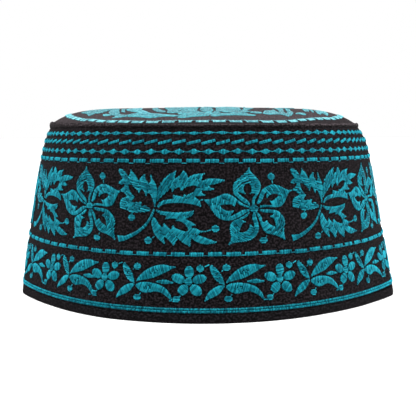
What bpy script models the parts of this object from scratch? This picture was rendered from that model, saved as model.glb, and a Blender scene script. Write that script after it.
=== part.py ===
"""Embroidered kufi cap: the cloth body of a stiff oval cap at its real size.

Metres, +Z up. The front of the cap faces -Y and its left ear, as seen from the front, is at -X.
The origin is the middle of the oval hem, at the height of the surface that the cap rests on.
Four pieces of cloth make the cap: the tapering side band, the domed crown panel, the rolled seam
lip between them, and the folded hem under the band. The stitches of the embroidery aren't here.
"""
import math

import bmesh
import bpy

MM = 0.001

# Driving dimensions
HEM_HALF_WIDTH = 86.6 * MM      # outer half-width of the band's line at the floor
LENGTH_EXCESS = 16.0 * MM       # half-length less half-width, the same at every height
BAND_LEAN = 0.173               # how far the wall leans in for each unit of height
SHOULDER_START = 57.0 * MM      # height where the wall begins to roll in
SHOULDER_ROLL = 10.5            # inward roll above that, per metre, times the height squared
HEM_HEIGHT = 3.4 * MM           # the plain folded edge below the band
BAND_TOP = 70.5 * MM            # top of the side band
CROWN_EDGE_HEIGHT = 72.0 * MM   # where the crown's cloth comes out of the seam
CROWN_RISE = 7.3 * MM           # how far the dome stands above that edge
CLEARANCE = 0.3 * MM            # gap between pieces that are sewn together

# Cloth
BAND_WALL = 2.4 * MM            # embroidered cloth, stiffener and backing
CROWN_WALL = 2.0 * MM
HEM_PROUD = 0.25 * MM           # the fold is a little thicker than the band
HEM_INNER_TURN = 10.5 * MM      # height that the hem's cloth is turned up inside
HEM_TURN_WALL = 1.0 * MM
HEM_CORNER = 0.8 * MM
SEAM_WIDTH = 2.3 * MM
SEAM_THICKNESS = 1.5 * MM

# Fullness of the crown: a low number is a gentle dome, a high one a flat top with a steep edge
FULLNESS_FRONT = 2.2
FULLNESS_LEFT = 15.0
FULLNESS_RIGHT = 8.0
FULLNESS_SPREAD = 5.7           # how closely the steep edge keeps to the ears

# How finely the solids are cut
STATIONS = 72                   # sections round the oval
SEAM_SIDES = 10
CORNER_STEPS = 3

# Rows of the band's outer face: share of the way up from its lower edge to its top
BAND_ROWS = (0.0, 0.2, 0.4, 0.6, 0.8, 0.87, 0.93, 0.975, 1.0)
BAND_INNER_ROWS = (1.0, 0.9, 0.78, 0.5, 0.25, 0.0)

# Rings of the crown: share of the way from its middle to its edge
CROWN_RINGS = (0.26, 0.48, 0.66, 0.79, 0.88, 0.94, 0.975, 1.0)


def half_width(height):
    """Outer half-width of the band's line at a height."""
    above_shoulder = max(0.0, height - SHOULDER_START)
    return HEM_HALF_WIDTH - BAND_LEAN * height - SHOULDER_ROLL * above_shoulder ** 2


def oval_point(across, along, turn, height):
    """A point on an oval with the given half-axes, turned from the front of the cap towards +X."""
    return (across * math.sin(turn), -along * math.cos(turn), height)


def oval_ring(inset, height, line_height):
    """One station ring, a distance inside the outer line that the band has at line_height."""
    across = half_width(line_height) - inset
    along = across + LENGTH_EXCESS
    turns = [2 * math.pi * station / STATIONS for station in range(STATIONS)]
    return [oval_point(across, along, turn, height) for turn in turns]


def corner(inset, height, radius, start_degrees, end_degrees):
    """Points of a rounded corner in a section, as (inset, height), about its own centre.

    Degrees turn from the inside of the cap (0) to straight up (90) and the outside (180).
    """
    points = []
    for step in range(CORNER_STEPS + 1):
        share = step / CORNER_STEPS
        angle = math.radians(start_degrees + (end_degrees - start_degrees) * share)
        points.append((inset + radius * math.cos(angle), height + radius * math.sin(angle)))
    return points


def loft(name, rings, closed):
    """A mesh object of faces between station rings: a closed tube, or an open dome with a middle."""
    mesh = bpy.data.meshes.new(name)
    shape = bmesh.new()
    rows = [[shape.verts.new(point) for point in ring] for ring in rings]
    pairs = list(zip(rows, rows[1:]))
    if closed:
        pairs.append((rows[-1], rows[0]))
    for lower, upper in pairs:
        for station in range(STATIONS):
            following = (station + 1) % STATIONS
            shape.faces.new((lower[station], lower[following], upper[following], upper[station]))
    if not closed:
        fan = shape.faces.new(rows[0])
        bmesh.ops.poke(shape, faces=[fan])
    bmesh.ops.recalc_face_normals(shape, faces=shape.faces)
    shape.to_mesh(mesh)
    shape.free()
    return bpy.data.objects.new(name, mesh)


def cloth(name, colour, roughness):
    """A plain woven finish for one piece."""
    material = bpy.data.materials.new(name)
    material.use_nodes = True
    shader = material.node_tree.nodes["Principled BSDF"]
    shader.inputs["Base Color"].default_value = (*colour, 1.0)
    shader.inputs["Roughness"].default_value = roughness
    shader.inputs["Metallic"].default_value = 0.0
    shader.inputs["Sheen Weight"].default_value = 0.3
    return material


def finish(piece, material, smooth_angle):
    """Put a piece in the cap's collection with its material and smooth shading."""
    bpy.data.collections["kufi_cap"].objects.link(piece)
    piece.data.materials.append(material)
    piece.data.shade_smooth()
    piece.data.set_sharp_from_angle(angle=math.radians(smooth_angle))


def build_hem():
    """The folded edge: a flat foot, an outer face as high as the plain strip, and a turn inside."""
    outer = -HEM_PROUD
    inner = BAND_WALL + CLEARANCE + HEM_TURN_WALL
    turn_outer = BAND_WALL + CLEARANCE
    half_turn = HEM_TURN_WALL / 2
    section = corner(inner - HEM_CORNER, HEM_CORNER, HEM_CORNER, -90, 0)
    section += corner(inner - half_turn, HEM_INNER_TURN - half_turn, half_turn, 0, 180)
    section.append((turn_outer, HEM_HEIGHT))
    section += corner(outer + HEM_CORNER, HEM_HEIGHT - HEM_CORNER, HEM_CORNER, 90, 180)
    section += corner(outer + HEM_CORNER, HEM_CORNER, HEM_CORNER, 180, 270)
    rings = [oval_ring(inset, height, height) for inset, height in section]
    finish(loft("hem_fold", rings, closed=True), cloth("hem_cloth", (0.012, 0.009, 0.010), 0.85), 50)


def build_band():
    """The oval wall: straight and leaning in, then rolled over at the shoulder."""
    bottom = HEM_HEIGHT + CLEARANCE
    span = BAND_TOP - bottom
    rings = [oval_ring(0.0, bottom + span * share, bottom + span * share) for share in BAND_ROWS]
    for share in BAND_INNER_ROWS:
        height = bottom + span * share
        rings.append(oval_ring(BAND_WALL, height, height))
    finish(loft("side_band", rings, closed=True), cloth("band_cloth", (0.017, 0.012, 0.013), 0.8), 50)


def build_seam():
    """The rolled lip of cloth that stands on the band's top edge, round the crown."""
    middle = BAND_TOP + CLEARANCE + SEAM_THICKNESS / 2
    rings = []
    for side in range(SEAM_SIDES):
        angle = 2 * math.pi * side / SEAM_SIDES
        inset = SEAM_WIDTH / 2 * (1 - math.cos(angle))
        height = middle + SEAM_THICKNESS / 2 * math.sin(angle)
        rings.append(oval_ring(inset, height, BAND_TOP))
    finish(loft("crown_seam", rings, closed=True), cloth("seam_cloth", (0.022, 0.016, 0.018), 0.8), 60)


def crown_fullness(turn):
    """How flat-topped the crown is in one direction."""
    towards_ear = abs(math.sin(turn)) ** FULLNESS_SPREAD
    at_ear = FULLNESS_RIGHT if math.sin(turn) > 0 else FULLNESS_LEFT
    return FULLNESS_FRONT + (at_ear - FULLNESS_FRONT) * towards_ear


def build_crown():
    """The domed top, a thin shell whose edge lies just inside the seam lip."""
    across = half_width(BAND_TOP) - SEAM_WIDTH - CLEARANCE
    along = across + LENGTH_EXCESS
    rings = []
    for share in CROWN_RINGS:
        ring = []
        for station in range(STATIONS):
            turn = 2 * math.pi * station / STATIONS
            height = CROWN_EDGE_HEIGHT + CROWN_RISE * (1 - share ** crown_fullness(turn))
            ring.append(oval_point(across * share, along * share, turn, height))
        rings.append(ring)
    crown = loft("crown_panel", rings, closed=False)
    middle = min(crown.data.vertices, key=lambda vertex: math.hypot(vertex.co.x, vertex.co.y))
    middle.co = (0.0, 0.0, CROWN_EDGE_HEIGHT + CROWN_RISE)
    wall = crown.modifiers.new("cloth_thickness", "SOLIDIFY")
    wall.thickness = CROWN_WALL
    wall.offset = -1.0
    finish(crown, cloth("crown_cloth", (0.025, 0.018, 0.020), 0.8), 50)


def main():
    """Clear the scene and build the four pieces of the cap."""
    for leftover in list(bpy.data.objects):
        bpy.data.objects.remove(leftover)
    cap = bpy.data.collections.new("kufi_cap")
    bpy.context.scene.collection.children.link(cap)
    build_hem()
    build_band()
    build_seam()
    build_crown()


main()
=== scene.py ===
"""Embroidered kufi cap: the looks of the cap, dressed around its packed cloth frame.

Metres, +Z up. The front of the cap faces -Y, and the cap rests on its hem at height 0. The embroidery is
charted in millimetres: along the cloth to the right as seen from outside, and up. Every thread of the
embroidery is a small closed solid that arches over the cloth and dips into it at both ends.
"""
from __future__ import annotations

import logging
import math
from dataclasses import dataclass, field
from enum import Enum
from typing import Iterable, Iterator, Sequence

import bpy
import numpy as np
from mathutils import Matrix, Vector

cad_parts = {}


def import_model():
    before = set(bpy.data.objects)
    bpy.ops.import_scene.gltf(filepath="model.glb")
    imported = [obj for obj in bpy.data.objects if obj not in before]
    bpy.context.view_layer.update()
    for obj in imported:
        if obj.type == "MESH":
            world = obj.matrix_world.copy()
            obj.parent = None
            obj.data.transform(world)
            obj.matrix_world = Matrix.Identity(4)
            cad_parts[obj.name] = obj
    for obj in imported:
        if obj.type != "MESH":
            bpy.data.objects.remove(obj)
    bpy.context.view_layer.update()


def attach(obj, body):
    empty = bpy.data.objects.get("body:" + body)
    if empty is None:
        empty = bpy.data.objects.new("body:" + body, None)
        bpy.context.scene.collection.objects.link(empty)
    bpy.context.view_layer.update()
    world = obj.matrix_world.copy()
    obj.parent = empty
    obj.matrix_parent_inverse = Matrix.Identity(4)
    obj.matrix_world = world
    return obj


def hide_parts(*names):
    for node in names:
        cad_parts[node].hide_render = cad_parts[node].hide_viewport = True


MM = 0.001
LOG = logging.getLogger("kufi_cap")

# Points of a table of turns, and of a round patch's outline
TURN_STEPS = 1441
OVAL_STEPS = 14

Point = tuple[float, float]
Pair = tuple[float, float]
Table = tuple[tuple[float, ...], tuple[float, ...]]
Colour = tuple[float, float, float]


@dataclass(frozen=True)
class Wave:
    """One wave of puckers: how fast it runs along two directions, where it starts and its share."""

    first: float
    second: float
    phase: float = 0.0
    share: float = 1.0


def ripple(waves: Sequence[Wave], first: np.ndarray, second: np.ndarray) -> np.ndarray:
    """The mean of some waves.

    Args:
        waves: The waves.
        first: Places along their first direction.
        second: Places along their second direction, of the same shape.

    Returns:
        The mean at each place, from -1 to 1.
    """
    total = 0.0
    for wave in waves:
        total = total + wave.share * np.sin(wave.first * first + wave.second * second + wave.phase)
    return total / sum(wave.share for wave in waves)


def unit(vectors: np.ndarray) -> np.ndarray:
    """The vectors drawn out or in to a length of 1."""
    return vectors / np.maximum(np.linalg.norm(vectors, axis=-1, keepdims=True), 1e-12)


def half_round(turn: np.ndarray) -> np.ndarray:
    """The same turns counted from half round on the left to half round on the right."""
    return np.mod(turn + math.pi, 2 * math.pi) - math.pi


def distances(steps: Sequence[float]) -> np.ndarray:
    """Distances from the start of a path to each of its points, from the lengths of its steps."""
    return np.concatenate([[0.0], np.cumsum(steps)])


def path_of(spots: np.ndarray) -> np.ndarray:
    """Distance of each point from the first, along the line through them all."""
    return distances(np.linalg.norm(np.diff(spots, axis=0), axis=1))


def spaced(spots: np.ndarray, count: int) -> np.ndarray:
    """Space points evenly along a line.

    Args:
        spots: The points that the line runs through.
        count: How many points are wanted.

    Returns:
        The evenly spaced points.
    """
    path = path_of(spots)
    stations = np.linspace(0.0, path[-1], count)
    return np.stack([np.interp(stations, path, spots[:, axis]) for axis in (0, 1)], 1)


class Shade:
    """A shader value. Arithmetic on it adds Math nodes."""

    def __init__(self, graph: Graph, socket: bpy.types.NodeSocket) -> None:
        """Wrap one output socket.

        Args:
            graph: The node graph that the socket belongs to.
            socket: The output that gives the value.
        """
        self.graph = graph
        self.socket = socket

    def maths(self, operation: str, *others: Shade | float) -> Shade:
        """Add one Math node.

        Args:
            operation: Blender's name of the operation.
            others: The second and third operands, as shades or numbers.

        Returns:
            The node's result.
        """
        node = self.graph.node("ShaderNodeMath", {"operation": operation}, {0: self})
        for index, other in enumerate(others, start=1):
            self.graph.feed(node.inputs[index], other)
        return Shade(self.graph, node.outputs[0])

    def __add__(self, other: Shade | float) -> Shade:
        """The sum."""
        return self.maths("ADD", other)

    __radd__ = __add__

    def __mul__(self, other: Shade | float) -> Shade:
        """The product."""
        return self.maths("MULTIPLY", other)

    __rmul__ = __mul__

    def __sub__(self, other: Shade | float) -> Shade:
        """The difference."""
        return self.maths("SUBTRACT", other)

    def __rsub__(self, other: float) -> Shade:
        """A number less this shade."""
        return self * -1.0 + other

    def sine(self) -> Shade:
        """The sine."""
        return self.maths("SINE")

    def ramp(self, low: float, high: float) -> Shade:
        """A smooth step.

        Args:
            low: The value at which the result is 0.
            high: The value at which the result is 1.

        Returns:
            The step, from 0 to 1.
        """
        settings = {"interpolation_type": "SMOOTHSTEP"}
        node = self.graph.node("ShaderNodeMapRange", settings, {0: self, 1: low, 2: high})
        return Shade(self.graph, node.outputs[0])


class Graph:
    """The node graph of one material, with one principled shader."""

    def __init__(self, name: str) -> None:
        """Make a material with its shader.

        Args:
            name: The material's name.
        """
        self.material = bpy.data.materials.new(name)
        self.material.use_nodes = True
        self.tree = self.material.node_tree
        self.shader = self.tree.nodes["Principled BSDF"]

    def feed(self, entry: bpy.types.NodeSocket, value: object) -> None:
        """Give an input its link or its value.

        Args:
            entry: The input socket.
            value: A shade, an output socket, or a plain value.
        """
        if isinstance(value, Shade):
            value = value.socket
        if isinstance(value, bpy.types.NodeSocket):
            self.tree.links.new(value, entry)
        else:
            entry.default_value = value

    def node(self, kind: str, settings: dict | None = None, values: dict | None = None) -> bpy.types.Node:
        """Add any node.

        Args:
            kind: The node's type.
            settings: The node's own settings, which are set first.
            values: Its inputs, by name or number, as values or links.

        Returns:
            The node.
        """
        node = self.tree.nodes.new(kind)
        for key, setting in (settings or {}).items():
            setattr(node, key, setting)
        for key, value in (values or {}).items():
            self.feed(node.inputs[key], value)
        return node

    def attribute(self, name: str) -> Shade:
        """A number that the mesh carries at each point."""
        return Shade(self, self.node("ShaderNodeAttribute", {"attribute_name": name}).outputs["Fac"])

    def map_axes(self, uv_map: str) -> tuple[Shade, Shade, bpy.types.NodeSocket]:
        """Read one of the mesh's own maps.

        Args:
            uv_map: The map's name.

        Returns:
            Its two axes, and the whole vector.
        """
        place = self.node("ShaderNodeUVMap", {"uv_map": uv_map}).outputs[0]
        split = self.node("ShaderNodeSeparateXYZ", None, {0: place})
        return Shade(self, split.outputs[0]), Shade(self, split.outputs[1]), place

    def noise(self, vector: bpy.types.NodeSocket, scale: float, detail: float) -> Shade:
        """Cloudy noise.

        Args:
            vector: Where the noise is read.
            scale: How many clouds there are to a metre.
            detail: How many finer layers it has.

        Returns:
            The noise, about 0.5.
        """
        values = {"Vector": vector, "Scale": scale, "Detail": detail}
        return Shade(self, self.node("ShaderNodeTexNoise", None, values).outputs[0])

    def blend(self, share: Shade, first: object, second: object) -> bpy.types.NodeSocket:
        """Mix two colours.

        Args:
            share: How much of the second colour there is.
            first: A colour or a link.
            second: A colour or a link.

        Returns:
            The mixed colour's socket.
        """
        node = self.node("ShaderNodeMix", {"data_type": "RGBA"}, {0: share})
        for index, colour in ((6, first), (7, second)):
            self.feed(node.inputs[index], (*colour, 1.0) if isinstance(colour, tuple) else colour)
        return node.outputs[2]

    def set_shader(self, values: dict) -> None:
        """Give inputs of the principled shader their values or links."""
        for name, value in values.items():
            self.feed(self.shader.inputs[name], value)

    def bump(self, height: Shade, distance: float, strength: float) -> None:
        """Raise the surface by a height in the shading.

        Args:
            height: The height, from 0 to 1.
            distance: The real depth of a height of 1, in metres.
            strength: The share of it that shows.
        """
        values = {"Height": height, "Distance": distance, "Strength": strength}
        self.set_shader({"Normal": self.node("ShaderNodeBump", None, values).outputs[0]})


@dataclass(frozen=True)
class ClothFinish:
    """A closely woven black cloth, with slubs in its yarn and a faint brown bloom. On the crown the bloom
    colour is raised to a painted sheen, and where the points' tone is high a third colour paints shade on
    the band and the crown and a highlight on the lip.
    """

    name: str
    dark: Colour
    # On the crown this colour is painted lighter, as a painted sheen
    bloom_and_painted_sheen: Colour
    # Painted shading: darker for painted shade on the band and the crown, lighter for a painted highlight
    # on the lip
    painted_shading: Colour | None = None
    roughness: float = 0.85
    roughness_spread: float = 0.12
    specular: float = 0.02
    yarn_pitch: float = 0.42 * MM
    yarn_depth: float = 0.07 * MM
    yarn_strength: float = 0.8
    slub_height: float = 0.4
    cloud_scale: float = 500.0
    cloud_range: Pair = (0.3, 0.75)
    cloud_share: float = 0.2
    slub_scale: float = 1300.0
    slub_range: Pair = (0.47, 0.60)

    def material(self) -> bpy.types.Material:
        """Build the cloth from the piece's own map, which is in metres.

        A painted shading colour comes in where the points' tone is high: painted shade on the band and the
        crown, a painted highlight on the lip.

        Returns:
            The material.
        """
        graph = Graph(self.name)
        across, up, place = graph.map_axes("cloth")
        count = 2 * math.pi / self.yarn_pitch
        weave = (across * count).sine() * (up * count).sine() * 0.5 + 0.5
        slubs = graph.noise(place, self.slub_scale, 3.0)
        clouds = graph.noise(place, self.cloud_scale, 4.0)
        share = clouds.ramp(*self.cloud_range) * self.cloud_share
        share = share + slubs.ramp(*self.slub_range) * (1.0 - self.cloud_share)
        colour = graph.blend(share, self.dark, self.bloom_and_painted_sheen)
        # Painted shade and painted highlight come in by the points' tone
        if self.painted_shading is not None:
            painted_shading = graph.blend(share, self.dark, self.painted_shading)
            colour = graph.blend(graph.attribute("tone"), colour, painted_shading)
        graph.set_shader({
            "Base Color": colour,
            "Roughness": slubs * self.roughness_spread + (self.roughness - self.roughness_spread / 2),
            "Specular IOR Level": self.specular,
        })
        height = weave * (1.0 - self.slub_height) + slubs * self.slub_height
        graph.bump(height, self.yarn_depth, self.yarn_strength)
        return graph.material


@dataclass(frozen=True)
class ThreadFinish:
    """A lustrous turquoise embroidery thread, with painted shade where it dips into the cloth and a painted
    highlight on its crest.
    """

    name: str
    deep: Colour
    body: Colour
    crest: Colour
    roughness: float = 0.46
    roughness_spread: float = 0.1
    specular: float = 0.07
    sheen: float = 0.0
    body_range: Pair = (0.1, 0.95)
    blotch_scale: float = 900.0
    blotch_share: float = 0.9
    fibre_scale: float = 5000.0
    twist_length: float = 0.9 * MM
    twist_depth: float = 0.02 * MM
    twist_strength: float = 0.5

    def material(self) -> bpy.types.Material:
        """Build the thread from the points' lift and shade and the map along the thread.

        Returns:
            The material.
        """
        graph = Graph(self.name)
        along, around, place = graph.map_axes("thread")
        lift = graph.attribute("lift")
        # The shade attribute holds each thread's random tone and the painted highlight at a patch's edge
        shade = graph.attribute("shade")
        place_in_room = graph.node("ShaderNodeTexCoord").outputs["Object"]
        blotches = graph.noise(place_in_room, self.blotch_scale, 2.0)
        tone = shade + (blotches - 0.5) * self.blotch_share
        # Painted shade: the colour goes deep where a thread lies low, at its dips and along its low sides
        body = graph.blend(lift.ramp(*self.body_range), self.deep, self.body)
        # Painted highlight: the crest colour comes in on the top of each thread, by its tone and lift
        colour = graph.blend((tone * lift.ramp(0.0, 1.0)).ramp(0.0, 1.0), body, self.crest)
        twist = (along * (2 * math.pi / self.twist_length) + around * (2 * math.pi)).sine()
        fibres = graph.noise(place, self.fibre_scale, 2.0)
        graph.set_shader({
            "Base Color": colour,
            "Roughness": fibres * self.roughness_spread + (self.roughness - self.roughness_spread / 2),
            "Specular IOR Level": self.specular,
            "Sheen Weight": self.sheen,
            "Sheen Roughness": 0.5,
        })
        graph.bump(twist * 0.5 + 0.5, self.twist_depth, self.twist_strength)
        return graph.material


@dataclass(frozen=True)
class FloorFinish:
    """A plain matt floor, with faint clouds in its grey."""

    name: str = "pale_floor"
    colour: Colour = (0.42, 0.42, 0.42)
    cloud_scale: float = 3.0
    cloud_lightness: float = 1.02

    def material(self) -> bpy.types.Material:
        """Build the floor from its own map.

        Returns:
            The material.
        """
        graph = Graph(self.name)
        _, _, place = graph.map_axes("UVMap")
        clouds = graph.noise(place, self.cloud_scale, 2.0)
        light = tuple(part * self.cloud_lightness for part in self.colour)
        graph.set_shader({
            "Base Color": graph.blend(clouds, self.colour, light),
            "Roughness": 0.9,
            "Specular IOR Level": 0.1,
        })
        return graph.material


@dataclass(frozen=True)
class CapForm:
    """The cap's outer surfaces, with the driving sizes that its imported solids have."""

    hem_half_width: float = 86.6 * MM
    length_excess: float = 16.0 * MM
    band_lean: float = 0.173
    shoulder_start: float = 57.0 * MM
    shoulder_roll: float = 10.5
    hem_height: float = 3.4 * MM
    band_top: float = 70.5 * MM
    crown_edge_front: float = 71.0 * MM
    crown_edge_left: float = 72.8 * MM
    crown_edge_right: float = 71.85 * MM
    crown_top: float = 79.65 * MM
    crown_inset: float = 0.83 * MM
    fullness_front: float = 4.0
    fullness_left: float = 8.6
    fullness_right: float = 7.3
    fullness_spread: float = 6.4

    # The top edge is drawn in at the right ear, more and more from this height up and towards the ear
    drawn_in: float = 1.2 * MM
    drawn_from: float = 64.0 * MM
    drawn_rise: float = 1.5

    # Low puckers in the cloth. The band's waves run by the turn and the height, and close round the oval;
    # the crown's run over the plan and fade out near its edge, over a share of the way in.
    pucker: float = 0.12 * MM
    band_waves: tuple[Wave, ...] = (Wave(23, 190), Wave(41, -310, 1.3), Wave(67, 520, 4.1, 0.7))
    crown_waves: tuple[Wave, ...] = (Wave(230, 170), Wave(-310, 240, 2.0), Wave(420, 390))
    calm_edge: float = 0.08

    # A soft fold in front of each ear: turns in degrees, and how far the cloth stands out there in
    # millimetres at the hem. It fades out and moves back towards the ear as it goes up.
    left_fold: Table = (
        (-102.0, -88.0, -77.0, -69.0, -63.0, -56.0, -46.0, -36.0, -26.0, -15.0),
        (0.0, -1.5, -1.5, -0.3, 1.4, 0.4, -0.4, 0.0, 0.45, 0.0),
    )
    right_fold: Table = (
        (32.0, 40.0, 44.0, 50.0, 55.0, 60.0, 66.0, 74.0, 88.0, 102.0),
        (0.0, 0.75, 1.3, 2.0, 3.2, 4.4, 2.4, 0.2, -0.8, 0.0),
    )
    fold_height: float = 38.0 * MM
    fold_drift: float = 12.0
    fold_fade: float = 1.7

    def half_width(self, height: np.ndarray) -> np.ndarray:
        """Outer half-width of the band's line at a height."""
        above = np.maximum(0.0, np.asarray(height) - self.shoulder_start)
        return self.hem_half_width - self.band_lean * np.asarray(height) - self.shoulder_roll * above**2

    def lean(self, height: np.ndarray) -> np.ndarray:
        """How fast the half-width grows with height, which is below zero."""
        above = np.maximum(0.0, np.asarray(height) - self.shoulder_start)
        return -self.band_lean - 2 * self.shoulder_roll * above

    def turn_at(self, arc: np.ndarray, height: float) -> np.ndarray:
        """The turn round the oval that an arc length from the front reaches.

        Args:
            arc: Distance round the band at that height, towards +X, in metres.
            height: The height at which the distance is measured.

        Returns:
            The turn in radians, 0 at the front.
        """
        turns, arcs = self.arc_table(height)
        rounds = arcs[-1] - arcs[0]
        laps = np.floor((np.asarray(arc) - arcs[0]) / rounds)
        return np.interp(np.asarray(arc) - laps * rounds, arcs, turns) + laps * 2 * math.pi

    def arc_table(self, height: float) -> tuple[np.ndarray, np.ndarray]:
        """Tabulate the band's length round at a height.

        Args:
            height: The height above the floor, in metres.

        Returns:
            Turns from the back round to the back, and the arc length that each has from the front.
        """
        across = float(self.half_width(height))
        turns = np.linspace(-math.pi, math.pi, TURN_STEPS)
        pace = np.hypot(across * np.cos(turns), (across + self.length_excess) * np.sin(turns))
        arcs = distances((pace[1:] + pace[:-1]) / 2 * np.diff(turns))
        return turns, arcs - arcs[-1] / 2

    def girth(self, height: float) -> float:
        """Distance round the band at a height, in metres."""
        _, arcs = self.arc_table(height)
        return float(arcs[-1] - arcs[0])

    def band_relief(self, turn: np.ndarray, height: np.ndarray) -> np.ndarray:
        """How far the puckers in the band's cloth stand out, in metres."""
        return self.pucker * ripple(self.band_waves, turn, height)

    def ear_folds(self, turn: np.ndarray, height: np.ndarray) -> np.ndarray:
        """How far the band stands out of its oval at the soft folds in front of the ears, in metres.

        Args:
            turn: Turns round the oval.
            height: Heights above the floor, of the same shape.

        Returns:
            The distance outwards, below zero in the hollow behind a fold.
        """
        degrees = np.degrees(half_round(turn))
        share = np.clip(height / self.fold_height, 0.0, 1.0)
        left = np.interp(degrees + self.fold_drift * share, *self.left_fold)
        right = np.interp(degrees - self.fold_drift * share, *self.right_fold)
        return (left + right) * MM * (1 - share) ** self.fold_fade

    def band_place(self, turn: np.ndarray, height: np.ndarray) -> tuple[np.ndarray, np.ndarray]:
        """Points and outward directions on the band.

        Args:
            turn: Turns round the oval.
            height: Heights above the floor, of the same shape.

        Returns:
            The points and the unit normals, each with a last axis of 3.
        """
        across = self.half_width(height)
        along = across + self.length_excess
        sine, cosine = np.sin(turn), np.cos(turn)
        point = np.stack([across * sine, -along * cosine, height], -1)
        rise = -self.lean(height) * (across * cosine**2 + along * sine**2)
        normal = unit(np.stack([along * sine, -across * cosine, rise], -1))
        relief = self.band_relief(turn, height) + self.ear_folds(turn, height)
        return self.draw_in(point + normal * relief[..., None]), normal

    def draw_in(self, point: np.ndarray) -> np.ndarray:
        """Draw the cap's top edge in a little at the right ear, where the photo shows it rounder.

        Args:
            point: Points on the cap, with a last axis of 3.

        Returns:
            The same points, drawn in.
        """
        share = np.clip((point[..., 2] - self.drawn_from) / (self.band_top - self.drawn_from), 0.0, 1.0)
        across = np.clip(point[..., 0] / float(self.half_width(self.band_top)), 0.0, 1.0)
        drawn = point.copy()
        drawn[..., 0] -= self.drawn_in * share**self.drawn_rise * across**2
        return drawn

    def crown_half_width(self) -> float:
        """Half-width of the crown's edge."""
        return float(self.half_width(self.band_top)) - self.crown_inset

    def crown_edge(self, sine: np.ndarray) -> np.ndarray:
        """Height of the crown's edge, from the sine of the turn: it rises a little towards the ears."""
        at_ear = np.where(sine > 0, self.crown_edge_right, self.crown_edge_left)
        return self.crown_edge_front + (at_ear - self.crown_edge_front) * sine**2

    def crown_height(self, x: np.ndarray, y: np.ndarray) -> np.ndarray:
        """Height of the crown's cloth over its plan.

        Args:
            x: Places on the plan, towards +X.
            y: Places on the plan, towards +Y.

        Returns:
            The height above the floor at each place.
        """
        across = self.crown_half_width()
        along = across + self.length_excess
        share = np.hypot(x / across, y / along)
        sine = (x / across) / np.maximum(share, 1e-9)
        at_ear = np.where(sine > 0, self.fullness_right, self.fullness_left)
        towards_ear = np.abs(sine) ** self.fullness_spread
        fullness = self.fullness_front + (at_ear - self.fullness_front) * towards_ear
        edge = self.crown_edge(sine)
        dome = edge + (self.crown_top - edge) * (1 - np.minimum(share, 1.0) ** fullness)
        swell = np.clip((1 - share) / self.calm_edge, 0.0, 1.0)
        return dome + self.pucker * swell * ripple(self.crown_waves, x, y)

    def crown_place(self, x: np.ndarray, y: np.ndarray) -> tuple[np.ndarray, np.ndarray]:
        """Points and upward directions on the crown.

        Args:
            x: Places on the plan, towards +X.
            y: Places on the plan, towards +Y.

        Returns:
            The points and the unit normals, each with a last axis of 3.
        """
        step = 0.2 * MM
        slope_x = (self.crown_height(x + step, y) - self.crown_height(x - step, y)) / (2 * step)
        slope_y = (self.crown_height(x, y + step) - self.crown_height(x, y - step)) / (2 * step)
        normal = unit(np.stack([-slope_x, -slope_y, np.ones_like(slope_x)], -1))
        return self.draw_in(np.stack([x, y, self.crown_height(x, y)], -1)), normal


@dataclass(frozen=True)
class BandGround:
    """A place on the band where a chart is sewn, in millimetres.

    It lies an arc length from the front, measured round the band at the height of the gauge. The chart
    leans along the cloth by its shear for each millimetre up.
    """

    form: CapForm
    arc: float
    height: float
    gauge: float
    shear: float = 0.0

    def place(self, chart: np.ndarray) -> tuple[np.ndarray, np.ndarray]:
        """Carry chart points onto the band.

        Args:
            chart: Points in millimetres, along the cloth and up from the chart's origin.

        Returns:
            Their points on the cloth and the outward directions there.
        """
        along = (chart[..., 0] + self.shear * chart[..., 1]) * MM
        turn = self.form.turn_at(self.arc * MM + along, self.gauge * MM)
        return self.form.band_place(turn, self.height * MM + chart[..., 1] * MM)


@dataclass(frozen=True)
class CrownGround:
    """A place on the crown's plan where a chart is sewn, in millimetres, turned by some radians."""

    form: CapForm
    x: float
    y: float
    turn: float = 0.0
    scale: float = 1.0

    def place(self, chart: np.ndarray) -> tuple[np.ndarray, np.ndarray]:
        """Carry chart points onto the crown.

        Args:
            chart: Points in millimetres about the chart's origin.

        Returns:
            Their points on the cloth and the upward directions there.
        """
        reach = chart * (MM * self.scale)
        cosine, sine = math.cos(self.turn), math.sin(self.turn)
        x = self.x * MM + cosine * reach[..., 0] - sine * reach[..., 1]
        y = self.y * MM + sine * reach[..., 0] + cosine * reach[..., 1]
        return self.form.crown_place(x, y)


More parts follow.
